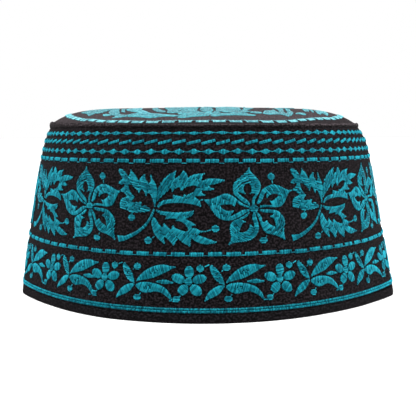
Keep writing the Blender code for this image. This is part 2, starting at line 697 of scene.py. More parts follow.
@dataclass(frozen=True)
class RingGround:
    """The line round the crown that the ring of dashes follows, which wanders in and out."""

    form: CapForm

    # Turns in degrees from the front, and how many millimetres inside the crown's edge the line is there
    insets: Table = (
        (-180, -90, -67, -57.5, -48, -42.5, -37.5, -32, -22, -16.5, -12, -7,
         -1, 9.5, 14.5, 25, 31, 37, 42.5, 48, 57, 75, 90, 180),
        (5.0, 7.4, 7.0, 5.7, 4.6, 4.4, 4.1, 3.8, 3.9, 4.0, 4.6, 5.0,
         5.2, 5.2, 4.6, 4.0, 4.6, 5.8, 6.4, 6.4, 6.0, 7.2, 7.6, 5.0),
    )

    def inset(self, turn: np.ndarray) -> np.ndarray:
        """How far inside the crown's edge the line is, in metres."""
        return np.interp(np.degrees(half_round(turn)), *self.insets) * MM

    def line(self, turn: np.ndarray, inwards: np.ndarray) -> tuple[np.ndarray, np.ndarray]:
        """Find points on the plan by the line.

        Args:
            turn: Their turns round the oval.
            inwards: How far they lie inwards of the line, in metres.

        Returns:
            Their places towards +X and towards +Y.
        """
        inset = self.inset(turn)
        across = self.form.crown_half_width() - inset - inwards
        return across * np.sin(turn), -(across + self.form.length_excess) * np.cos(turn)

    def girth(self) -> float:
        """Length of the line, in metres."""
        return float(self.table()[1][-1])

    def table(self) -> tuple[np.ndarray, np.ndarray]:
        """Tabulate the line's length.

        Returns:
            Turns once round from the front, and the arc length that each has.
        """
        turns = np.linspace(0.0, 2 * math.pi, TURN_STEPS)
        x, y = self.line(turns, 0 * turns)
        return turns, distances(np.hypot(np.diff(x), np.diff(y)))

    def place(self, chart: np.ndarray) -> tuple[np.ndarray, np.ndarray]:
        """Carry points along and across the line onto the crown.

        Args:
            chart: Millimetres along the line from the front, and inwards from it.

        Returns:
            Their points on the cloth and the upward directions there.
        """
        turns, arcs = self.table()
        turn = np.interp(np.mod(chart[..., 0] * MM, arcs[-1]), arcs, turns)
        return self.form.crown_place(*self.line(turn, chart[..., 1] * MM))


Ground = BandGround | CrownGround | RingGround


@dataclass(frozen=True)
class Patch:
    """A patch of satin stitch: its outline, and the way its threads run in degrees from the level.

    The threads of a circling patch run round the figure's middle instead.
    """

    lay: float
    outline: tuple[Point, ...]
    circling: bool = False


@dataclass(frozen=True)
class Oval:
    """A round or oval patch: its middle, its half-sizes, its tilt and the lay of its threads."""

    middle: Point
    half: Point
    tilt: float = 0.0
    lay: float = 0.0
    point: Point | None = None

    def patch(self) -> Patch:
        """Work out the outline.

        Returns:
            The oval as a patch, drawn out to its point where it has one.
        """
        tilt = math.radians(self.tilt)
        spots = []
        for step in range(OVAL_STEPS):
            angle = 2 * math.pi * step / OVAL_STEPS
            across, up = self.half[0] * math.cos(angle), self.half[1] * math.sin(angle)
            x = self.middle[0] + across * math.cos(tilt) - up * math.sin(tilt)
            y = self.middle[1] + across * math.sin(tilt) + up * math.cos(tilt)
            spots.append((x, y))
        if self.point is not None:
            gaps = [math.dist(spot, self.point) for spot in spots]
            spots[gaps.index(min(gaps))] = self.point
        return Patch(self.lay, tuple(spots))


@dataclass(frozen=True)
class Column:
    """A stem: threads sewn across from one rail to the other."""

    left: tuple[Point, ...]
    right: tuple[Point, ...]


@dataclass(frozen=True)
class Run:
    """A line of running stitches through some points."""

    points: tuple[Point, ...]


@dataclass(frozen=True)
class Motif:
    """One figure of the embroidery, about its own origin."""

    patches: tuple[Patch, ...]
    ovals: tuple[Oval, ...] = ()
    columns: tuple[Column, ...] = ()
    runs: tuple[Run, ...] = ()


TOP_PETAL = Patch(0.0, (
    (-1.7, 1.0), (-3.2, 1.8), (-4.4, 2.4), (-5.4, 3.3), (-6.5, 4.3), (-7.5, 5.4), (-7.8, 7.0),
    (-7.6, 8.8), (-6.6, 10.2), (-4.5, 11.9), (-2.6, 13.3), (-1.6, 14.4), (-1.15, 15.8), (-0.9, 14.0),
    (-0.2, 13.0), (1.3, 11.6), (2.6, 10.0), (3.15, 8.4), (2.9, 6.9), (2.3, 5.7), (1.4, 4.5), (0.6, 3.2),
    (0.35, 1.6), (-0.7, 1.5), (-0.75, 2.6), (-0.4, 3.8), (0.1, 4.6), (0.9, 5.4), (-0.2, 5.65),
    (-1.4, 5.3), (-0.85, 6.3), (-0.75, 7.3), (-1.2, 8.6), (-1.9, 9.5), (-3.1, 8.8), (-3.75, 7.4),
    (-3.5, 6.3), (-2.8, 5.1), (-4.2, 5.6), (-6.0, 6.1), (-5.0, 5.1), (-4.0, 4.2), (-2.9, 3.5),
    (-2.0, 2.6), (-1.7, 1.6),
), circling=True)
UPPER_RIGHT_PETAL = Patch(0.0, (
    (1.0, 1.5), (1.6, 3.0), (2.2, 4.4), (2.8, 5.9), (3.9, 7.1), (5.6, 8.0), (7.4, 8.55), (9.2, 8.5),
    (11.2, 7.8), (13.2, 6.9), (14.7, 6.35), (16.6, 6.25), (15.1, 5.5), (14.2, 4.4), (13.2, 2.8),
    (12.2, 1.3), (10.8, 0.35), (9.0, 0.05), (6.5, 0.25), (4.2, 0.3), (2.2, 0.1), (2.6, 1.0), (4.2, 1.2),
    (6.0, 1.0), (7.15, 0.9), (6.9, 1.8), (5.95, 2.65), (7.3, 2.6), (8.8, 3.4), (10.3, 4.5), (9.6, 5.0),
    (7.6, 4.95), (6.2, 4.4), (5.15, 3.5), (5.2, 4.8), (5.45, 5.95), (4.6, 5.2), (3.9, 3.9), (3.2, 2.6),
    (2.2, 1.8),
), circling=True)
LOWER_RIGHT_PETAL = Patch(0.0, (
    (2.2, -0.5), (3.2, -0.35), (5.5, -0.45), (8.0, -0.7), (9.7, -1.3), (11.0, -2.5), (12.0, -4.0),
    (12.2, -5.6), (11.7, -7.2), (11.4, -8.8), (11.6, -10.4), (11.7, -12.2), (10.4, -11.3), (8.8, -10.5),
    (7.0, -9.9), (5.2, -9.5), (3.8, -8.7), (2.8, -7.4), (2.2, -5.9), (1.7, -4.4), (1.1, -2.8),
    (0.5, -1.4), (1.2, -1.2), (2.1, -2.1), (2.8, -3.3), (3.0, -4.6), (3.5, -5.2), (4.1, -4.9),
    (4.8, -4.2), (5.2, -5.1), (6.0, -5.9), (7.0, -6.5), (8.1, -7.0), (8.2, -6.0), (7.9, -4.8),
    (7.2, -3.8), (5.6, -3.1), (6.8, -2.9), (7.7, -2.2), (6.0, -1.85), (4.2, -1.75), (3.0, -1.4),
    (2.3, -0.9),
), circling=True)
LOWER_LEFT_PETAL = Patch(0.0, (
    (-1.6, -1.0), (-3.1, -1.9), (-4.4, -2.7), (-5.8, -3.4), (-7.4, -3.95), (-8.7, -4.9), (-9.35, -6.5),
    (-9.2, -8.6), (-9.0, -10.7), (-10.3, -13.3), (-8.6, -12.5), (-6.1, -12.1), (-3.3, -11.8),
    (-1.1, -11.0), (0.6, -9.6), (1.55, -7.6), (1.4, -5.5), (0.9, -3.4), (0.4, -1.5), (-0.4, -1.5),
    (-0.9, -2.9), (-0.7, -4.4), (-0.25, -5.8), (-0.35, -7.1), (-0.9, -6.4), (-1.9, -5.6), (-2.1, -6.7),
    (-3.0, -7.9), (-4.4, -8.6), (-5.95, -8.4), (-5.3, -7.0), (-4.5, -5.4), (-3.1, -4.7), (-4.2, -4.4),
    (-5.2, -3.9), (-3.8, -3.5), (-2.6, -2.7), (-1.9, -1.7),
), circling=True)
LEFT_PETAL = Patch(0.0, (
    (-1.8, 0.7), (-3.2, 1.35), (-4.4, 2.0), (-5.5, 2.8), (-6.6, 3.75), (-7.9, 4.8), (-9.3, 5.5),
    (-11.1, 5.6), (-13.0, 4.9), (-15.5, 3.9), (-18.8, 3.5), (-16.9, 1.3), (-15.5, -0.7), (-14.3, -2.4),
    (-12.7, -3.6), (-10.5, -4.25), (-8.6, -4.15), (-6.7, -3.55), (-5.0, -2.7), (-3.2, -1.6), (-1.8, -0.9),
    (-1.9, -0.35), (-4.1, -0.3), (-5.6, -0.95), (-7.4, -1.9), (-9.1, -2.65), (-8.1, -1.3), (-7.4, -0.35),
    (-8.9, -0.65), (-10.4, -0.5), (-11.8, 0.2), (-12.8, 1.3), (-10.7, 1.55), (-8.6, 1.5), (-7.3, 0.7),
    (-7.1, 1.7), (-6.9, 2.5), (-5.6, 1.6), (-4.0, 0.8), (-2.1, 0.4),
), circling=True)
FLOWER_HEART = Patch(0.0, ((-2.0, 0.0), (-1.2, 1.0), (1.0, 1.1), (2.1, 0.2), (1.3, -1.0), (-1.0, -1.1)))

LARGE_FLOWER = Motif(
    patches=(TOP_PETAL, UPPER_RIGHT_PETAL, LOWER_RIGHT_PETAL, LOWER_LEFT_PETAL, LEFT_PETAL, FLOWER_HEART),
    ovals=(Oval((7.6, 11.5), (1.6, 1.2)), Oval((3.1, -11.65), (1.65, 1.1))),
    runs=(Run(((7.9, 10.3), (7.95, 8.6))), Run(((4.0, -10.7), (4.6, -9.6)))),
)

UPPER_LEFT_LEAF = Patch(-12.0, (
    (0.3, 1.2), (0.6, 3.0), (0.9, 5.0), (0.9, 7.4), (0.5, 8.6), (0.0, 9.6), (-0.6, 10.4), (-1.2, 11.2),
    (-1.8, 12.4), (-2.1, 13.3), (-2.2, 12.2), (-2.0, 11.2), (-2.1, 10.4), (-2.5, 9.8), (-3.2, 10.2),
    (-3.9, 10.8), (-4.2, 11.6), (-4.3, 12.5), (-4.5, 13.2), (-5.3, 12.5), (-6.1, 11.9), (-6.5, 11.2),
    (-6.8, 10.5), (-7.3, 11.0), (-7.9, 12.0), (-8.8, 13.0), (-9.8, 13.8), (-10.65, 14.7), (-10.8, 13.5),
    (-11.1, 12.6), (-11.5, 12.0), (-12.2, 12.8), (-13.2, 13.8), (-14.4, 14.4), (-16.3, 14.7),
    (-16.0, 13.6), (-15.2, 12.5), (-14.2, 11.4), (-14.0, 11.1), (-15.2, 10.4), (-15.9, 9.6), (-15.4, 9.2),
    (-14.2, 9.1), (-12.9, 8.9), (-13.0, 8.4), (-13.7, 7.7), (-14.8, 6.8), (-13.9, 6.3), (-12.9, 5.9),
    (-12.1, 5.2), (-11.6, 4.6), (-12.6, 4.3), (-13.6, 3.9), (-14.2, 3.3), (-14.5, 2.2), (-14.4, 0.9),
    (-14.2, 0.3), (-13.0, 0.1), (-11.8, -0.1), (-10.6, -0.6), (-9.4, -1.1), (-7.4, -1.15), (-5.0, -1.0),
    (-3.0, -0.8), (-1.3, -0.3), (-1.6, 0.3), (-2.6, 1.0), (-4.0, 1.5), (-5.0, 1.4), (-5.4, 1.6),
    (-5.0, 2.8), (-6.0, 2.7), (-7.5, 2.6), (-9.0, 2.8), (-9.4, 3.0), (-8.9, 3.6), (-8.0, 4.6),
    (-8.8, 5.0), (-9.7, 5.8), (-10.4, 6.8), (-10.9, 7.8), (-11.1, 8.9), (-10.0, 8.9), (-9.0, 8.3),
    (-8.0, 7.5), (-7.1, 6.9), (-6.8, 6.2), (-6.6, 5.3), (-6.2, 6.5), (-5.5, 7.5), (-4.8, 7.0),
    (-4.2, 6.2), (-3.8, 5.6), (-3.5, 4.4), (-3.2, 5.6), (-2.7, 6.2), (-2.0, 5.8), (-1.5, 4.9),
    (-1.0, 4.0), (-0.6, 3.0), (-0.2, 2.0), (-0.1, 1.2),
))
UPPER_RIGHT_LEAF = Patch(58.0, (
    (0.7, 3.0), (1.0, 5.0), (1.05, 7.0), (1.3, 8.2), (2.0, 9.8), (3.0, 11.0), (4.2, 12.2), (5.6, 13.2),
    (7.0, 13.9), (8.1, 14.6), (7.7, 13.4), (7.5, 12.4), (7.4, 11.6), (8.4, 12.0), (9.6, 12.9),
    (10.3, 13.8), (10.8, 14.5), (11.6, 13.8), (12.2, 12.9), (12.4, 12.0), (12.3, 11.5), (13.3, 12.3),
    (14.8, 13.0), (16.6, 13.3), (18.9, 13.5), (18.1, 12.7), (17.7, 11.8), (17.5, 10.9), (18.4, 10.9),
    (19.6, 11.4), (21.5, 11.6), (23.6, 11.5), (26.7, 10.9), (24.8, 10.1), (22.4, 9.4), (20.2, 9.1),
    (20.9, 8.4), (21.8, 7.9), (23.0, 7.7), (21.5, 7.3), (19.8, 7.1), (17.6, 7.2), (17.6, 6.6),
    (18.2, 5.9), (19.3, 5.5), (17.6, 5.2), (16.0, 5.15), (15.0, 5.2), (15.2, 4.9), (16.2, 4.1),
    (16.8, 3.8), (17.0, 3.2), (17.3, 2.2), (17.3, 1.2), (15.2, 1.9), (13.0, 2.3), (10.5, 2.6), (7.5, 2.6),
    (5.0, 2.4), (3.2, 1.9), (1.9, 1.3), (1.2, 0.7), (0.9, 1.2), (1.6, 2.4), (2.6, 3.2), (4.2, 3.8),
    (5.8, 4.0), (6.9, 4.1), (7.0, 5.6), (8.4, 5.4), (9.8, 5.1), (10.9, 4.9), (11.05, 5.85), (12.2, 5.6),
    (13.2, 6.0), (14.4, 6.6), (15.3, 7.5), (15.9, 8.6), (14.6, 9.0), (13.0, 8.7), (11.6, 8.2),
    (10.6, 7.5), (9.9, 6.7), (9.7, 7.6), (9.4, 8.4), (8.3, 8.1), (7.2, 7.4), (6.5, 6.2), (6.3, 7.3),
    (6.0, 8.0), (5.2, 7.5), (4.3, 6.4), (3.2, 5.4), (2.2, 4.5), (1.4, 3.6),
))
LOWER_RIGHT_LEAF = Patch(50.0, (
    (0.2, 0.2), (1.2, 0.0), (2.5, -0.3), (4.5, -0.5), (8.0, -0.7), (11.0, -0.6), (13.2, -0.3),
    (14.9, 0.0), (14.6, -0.8), (14.2, -1.6), (13.4, -2.3), (12.2, -2.9), (12.0, -3.2), (12.8, -3.6),
    (13.8, -4.0), (14.2, -4.3), (15.6, -5.3), (14.2, -5.6), (13.8, -6.0), (14.6, -6.3), (15.8, -6.5),
    (16.6, -7.0), (17.6, -7.3), (18.8, -7.4), (19.3, -7.6), (18.0, -7.8), (17.0, -8.1), (16.3, -8.7),
    (17.4, -9.2), (19.0, -9.7), (20.8, -10.4), (22.4, -11.1), (23.5, -11.4), (21.6, -11.9), (19.4, -12.2),
    (17.6, -12.0), (16.2, -11.5), (14.9, -10.8), (13.9, -10.1), (13.7, -11.2), (13.6, -12.2),
    (13.7, -13.3), (12.3, -12.5), (10.8, -11.6), (9.8, -10.9), (9.0, -10.0), (8.4, -11.4), (7.4, -12.7),
    (6.4, -11.5), (5.2, -10.4), (4.1, -9.5), (4.1, -10.6), (4.5, -12.3), (3.2, -11.5), (1.6, -10.2),
    (0.4, -8.8), (-0.4, -7.2), (-0.9, -5.4), (-0.8, -3.6), (-0.2, -2.7), (0.5, -2.9), (1.3, -4.0),
    (2.2, -5.2), (3.3, -6.2), (3.6, -5.4), (3.8, -4.4), (4.6, -5.4), (5.6, -6.2), (6.6, -6.9),
    (6.8, -6.0), (7.0, -5.0), (7.9, -6.1), (9.2, -6.8), (10.8, -7.3), (12.0, -7.6), (12.8, -7.3),
    (12.6, -6.6), (12.0, -5.6), (11.2, -4.8), (10.2, -4.2), (9.2, -3.9), (7.9, -3.9), (8.3, -3.1),
    (7.6, -3.0), (5.6, -3.2), (4.0, -3.3), (4.6, -2.4), (4.3, -2.0), (3.8, -1.9), (2.4, -1.8),
    (2.0, -1.2), (1.2, -0.9),
))
LEAF_STEM = Column(
    left=((-0.5, 0.3), (-0.9, -0.6), (-1.6, -2.2), (-2.8, -4.2), (-4.6, -6.2), (-6.6, -7.6), (-8.8, -8.8),
          (-11.2, -9.8), (-14.3, -9.8)),
    right=((0.1, -0.1), (0.1, -0.4), (-0.4, -2.0), (-1.3, -3.8), (-2.6, -5.8), (-4.4, -7.6), (-6.4, -9.2),
           (-8.6, -10.4), (-11.0, -11.6), (-13.4, -12.3)),
)
LEAF_SPRAY = Motif(
    patches=(UPPER_LEFT_LEAF, UPPER_RIGHT_LEAF, LOWER_RIGHT_LEAF),
    ovals=(
        Oval((-9.0, -3.0), (1.55, 1.2)), Oval((-1.9, -11.1), (1.6, 1.2)), Oval((22.5, -6.6), (1.5, 1.2)),
    ),
    columns=(LEAF_STEM,),
    runs=(
        Run(((-8.8, -1.2), (-8.9, -1.9))), Run(((0.7, -9.4), (-0.5, -10.4))),
        Run(((19.2, -7.6), (20.2, -7.0), (21.1, -6.9))), Run(((-14.6, 6.7), (-16.0, 6.3), (-17.2, 6.1))),
        Run(((16.9, 3.6), (18.3, 3.9))),
    ),
)

NARROW_LEAF = Patch(-18.0, (
    (8.1, 6.1), (7.6, 5.25), (8.0, 3.25), (8.7, 1.75), (10.0, 0.25), (11.85, -0.9), (13.0, -1.1),
    (12.5, 0.75), (11.85, 2.25), (11.0, 3.5), (9.6, 5.0),
))
LARGE_LEAF = Patch(108.0, (
    (13.35, -0.75), (14.1, 0.75), (15.35, 2.25), (17.1, 3.75), (19.1, 4.9), (21.6, 5.75), (24.1, 6.0),
    (26.6, 5.5), (29.35, 5.25), (27.85, 4.75), (25.6, 3.5), (23.35, 2.4), (20.85, 1.25), (18.35, 0.5),
    (15.85, 0.0), (14.1, -0.5),
))
THIN_LEAF = Patch(75.0, (
    (21.1, -0.25), (22.85, 0.4), (24.85, 0.65), (26.85, 0.0), (28.6, -0.5), (26.6, -0.85), (24.35, -1.1),
    (22.35, -0.8),
))
BOWED_LEAF = Patch(72.0, (
    (13.2, -1.9), (14.6, -0.9), (17.1, -0.5), (19.6, -0.6), (22.1, -1.1), (24.35, -2.1), (25.85, -3.4),
    (26.85, -4.75), (27.4, -6.25), (27.7, -7.1), (27.1, -7.0), (26.1, -6.1), (24.6, -5.0), (22.85, -4.1),
    (20.85, -3.9), (19.1, -4.25), (17.1, -4.5), (15.6, -4.1), (14.35, -3.25), (13.35, -2.25),
))
LOWER_LEFT_SMALL_LEAF = Patch(118.0, (
    (5.7, -7.0), (6.0, -5.75), (6.6, -4.5), (7.6, -3.25), (9.1, -2.1), (10.85, -1.4), (12.6, -1.4),
    (13.0, -1.9), (12.1, -3.0), (11.1, -4.25), (9.6, -5.25), (8.1, -5.9), (6.85, -6.5),
))
SMALL_FLOWER = (
    Oval((0.05, 3.4), (1.8, 2.15), 0.0, 8.0, (-0.4, 5.6)),
    Oval((-3.9, 1.0), (2.5, 1.75), -20.0, 70.0, (-6.4, 1.45)),
    Oval((3.85, 0.9), (2.5, 1.7), 15.0, 105.0),
    Oval((-2.15, -3.0), (2.2, 1.8), 45.0, 135.0, (-2.8, -5.0)),
    Oval((2.5, -3.0), (2.4, 1.9), -40.0, 50.0),
    Oval((-0.15, 0.0), (1.5, 1.3), 0.0, 0.0),
)
SMALL_DOTS = (
    Oval((4.1, 4.75), (1.5, 1.15)), Oval((13.7, 4.9), (1.55, 1.15)), Oval((14.2, -6.2), (1.6, 1.1)),
    Oval((-4.5, -6.3), (1.4, 1.1)),
)
SMALL_MOTIF = Motif(
    patches=(NARROW_LEAF, LARGE_LEAF, THIN_LEAF, BOWED_LEAF, LOWER_LEFT_SMALL_LEAF),
    ovals=SMALL_FLOWER + SMALL_DOTS,
    runs=(
        Run(((4.0, 4.0), (4.0, 3.2))), Run(((5.5, 5.2), (7.6, 6.1))), Run(((12.6, 4.2), (11.8, 3.4))),
        Run(((15.1, -5.4), (15.5, -4.4))), Run(((-3.6, -5.9), (-2.9, -4.9))),
        Run(((-5.8, -6.9), (-7.4, -7.1))), Run(((27.4, -7.1), (28.35, -7.4), (29.3, -7.1))),
    ),
)


# The figures along the front of the crown, charted from the crown's middle
CROWN_FLOWER = (
    Patch(78.0, (
        (0.6, -68.2), (-3.5, -68.6), (-7.2, -70.6), (-9.6, -72.6), (-10.0, -74.8), (-10.4, -76.6),
        (-8.2, -77.2), (-5.6, -76.2), (-2.5, -75.8), (0.6, -75.4), (1.4, -75.0), (1.9, -71.5),
        (1.6, -69.3),
    )),
    Patch(96.0, (
        (-0.6, -67.8), (-2.4, -65.8), (-3.1, -62.0), (-3.0, -55.0), (-3.2, -46.0), (-5.0, -38.0),
        (-8.0, -38.0), (-9.6, -46.0), (-9.7, -58.0), (-9.5, -63.0), (-10.4, -66.0), (-10.4, -71.0),
        (-7.0, -71.0), (-3.8, -69.1),
    )),
    Patch(88.0, (
        (0.9, -67.8), (-1.2, -65.0), (-1.9, -60.0), (-1.6, -50.0), (-0.5, -40.0), (1.2, -38.0),
        (2.2, -44.0), (2.9, -56.0), (3.4, -61.0), (3.0, -65.0), (1.9, -67.6),
    )),
    Patch(84.0, (
        (3.4, -67.2), (4.1, -64.5), (4.6, -58.0), (4.4, -48.0), (5.6, -40.0), (10.0, -37.0),
        (13.6, -41.0), (14.4, -48.0), (14.5, -55.0), (14.7, -60.0), (15.0, -66.0), (13.4, -68.2),
        (10.4, -69.2), (9.8, -68.0), (7.2, -67.6), (6.8, -65.6), (5.9, -65.6), (5.6, -68.6),
    )),
    Patch(102.0, (
        (1.9, -69.2), (3.4, -68.0), (5.6, -68.8), (6.6, -70.3), (9.2, -70.2), (10.6, -69.2),
        (13.2, -67.9), (16.0, -66.9), (17.8, -68.2), (20.4, -69.4), (19.2, -70.8), (15.0, -71.6),
        (11.0, -73.0), (7.0, -74.3), (3.6, -75.9), (2.2, -75.4), (2.1, -72.0),
    )),
    Patch(90.0, (
        (-14.8, -66.2), (-15.3, -63.0), (-14.9, -59.0), (-15.8, -54.0), (-16.8, -46.0), (-17.4, -39.0),
        (-13.5, -36.0), (-10.5, -40.0), (-9.9, -50.0), (-10.0, -60.0), (-10.8, -62.0), (-10.7, -64.0),
        (-10.4, -67.6), (-12.6, -67.6),
    )),
    Patch(92.0, (
        (-16.2, -63.7), (-17.6, -63.2), (-19.2, -61.0), (-20.6, -57.0), (-21.6, -52.0), (-22.0, -46.0),
        (-21.6, -38.0), (-20.4, -36.0), (-19.8, -40.0), (-19.8, -48.0), (-18.8, -54.0), (-17.4, -57.5),
        (-16.2, -60.5), (-15.7, -62.6),
    )),
    Patch(86.0, (
        (14.9, -60.0), (15.6, -56.5), (16.0, -51.0), (16.2, -44.0), (17.4, -37.0), (20.2, -38.0),
        (20.4, -45.0), (19.2, -52.5), (17.6, -57.0), (16.6, -60.5),
    )),
    Patch(95.0, ((14.9, -60.6), (17.0, -60.6), (18.4, -61.4), (17.8, -63.6), (16.6, -64.6), (15.6, -66.4))),
)
CROWN_LEFT_LEAF = (
    Patch(70.0, (
        (-9.2, -73.4), (-11.5, -72.0), (-14.2, -70.6), (-16.4, -69.0), (-18.0, -67.0), (-20.4, -65.6),
        (-22.0, -63.4), (-23.6, -58.6), (-25.0, -54.0), (-26.6, -48.0), (-26.8, -40.0), (-27.6, -35.0),
        (-31.0, -35.0), (-33.0, -40.0), (-33.0, -46.0), (-31.4, -51.0), (-29.2, -55.0), (-27.4, -58.6),
        (-26.8, -60.6), (-28.8, -61.6), (-30.3, -63.0), (-30.6, -67.2), (-28.0, -68.8), (-25.6, -70.4),
        (-23.4, -72.4), (-21.4, -74.0), (-19.8, -74.4), (-17.5, -74.0), (-15.0, -73.8), (-12.6, -74.6),
        (-10.4, -74.2),
    )),
    Patch(104.0, (
        (-31.0, -63.0), (-32.0, -62.0), (-33.4, -60.4), (-34.6, -58.0), (-35.2, -54.0), (-36.0, -48.0),
        (-36.8, -42.0), (-37.6, -35.0), (-39.6, -33.0), (-40.6, -38.0), (-40.2, -46.0), (-40.0, -50.0),
        (-39.2, -54.0), (-38.5, -57.0), (-36.6, -60.0), (-36.2, -62.4), (-37.4, -64.6), (-35.4, -65.3),
        (-33.0, -66.0), (-31.2, -66.7),
    )),
    Patch(75.0, (
        (-38.6, -58.4), (-40.6, -57.9), (-41.8, -55.4), (-42.0, -52.6), (-40.8, -53.0), (-39.6, -54.6),
        (-38.6, -56.8),
    )),
    Patch(90.0, (
        (-32.9, -54.6), (-34.4, -52.0), (-35.1, -46.0), (-35.8, -39.0), (-35.2, -35.0), (-34.0, -37.0),
        (-34.1, -43.0), (-33.6, -48.0),
    )),
    Patch(97.0, (
        (-41.0, -26.0), (-41.0, -36.0), (-41.6, -40.0), (-42.3, -44.0), (-43.4, -46.6), (-45.0, -46.4),
        (-46.4, -44.8), (-47.4, -47.6), (-48.6, -49.0), (-49.5, -46.0), (-50.5, -41.5), (-52.2, -38.0),
        (-54.4, -31.0), (-53.0, -25.0), (-49.0, -22.0), (-44.0, -22.0),
    )),
)
CROWN_RIGHT_LEAF = (
    Patch(82.0, (
        (23.2, -64.8), (23.8, -61.0), (24.3, -57.5), (25.4, -55.0), (27.0, -53.2), (28.0, -50.5),
        (28.6, -47.0), (29.3, -51.5), (29.8, -54.8), (30.6, -56.0), (30.9, -53.0), (30.6, -46.0),
        (30.4, -38.0), (31.6, -34.0), (33.4, -36.0), (33.2, -44.0), (32.7, -53.0), (33.0, -56.4),
        (33.8, -56.0), (34.3, -52.0), (34.5, -44.0), (35.0, -36.0), (36.2, -38.0), (36.2, -46.0),
        (36.7, -52.0), (36.2, -56.0), (35.2, -60.0), (34.4, -63.0), (33.4, -64.9), (32.0, -63.8),
        (30.4, -62.9), (28.6, -63.6), (26.6, -65.0), (24.6, -65.5),
    )),
    Patch(100.0, (
        (37.4, -55.6), (38.2, -52.5), (39.8, -50.0), (41.8, -49.4), (42.1, -52.5), (41.3, -55.6),
        (39.4, -54.6),
    )),
    Patch(80.0, (
        (18.0, -65.2), (18.8, -62.5), (20.4, -61.2), (22.6, -61.2), (23.0, -63.6), (21.8, -65.2),
        (20.0, -65.8),
    )),
    Patch(88.0, (
        (43.6, -26.0), (43.4, -34.0), (42.8, -40.2), (44.0, -40.4), (45.2, -37.0), (46.0, -30.0),
        (46.2, -25.0), (44.8, -23.0),
    )),
    Patch(92.0, (
        (46.8, -26.0), (46.6, -34.0), (46.5, -39.6), (47.3, -39.2), (47.8, -32.0), (48.0, -25.0),
    )),
    Patch(96.0, (
        (49.2, -26.0), (48.9, -33.0), (48.6, -38.5), (49.2, -44.2), (50.3, -40.2), (51.1, -36.0),
        (51.8, -39.6), (52.8, -42.2), (53.8, -37.0), (54.6, -29.0), (54.4, -24.0), (51.6, -23.0),
    )),
)

CROWN_FRONT = Motif(
    patches=CROWN_FLOWER + CROWN_LEFT_LEAF + CROWN_RIGHT_LEAF,
    ovals=(Oval((1.7, -68.3), (1.5, 1.0)),),
)


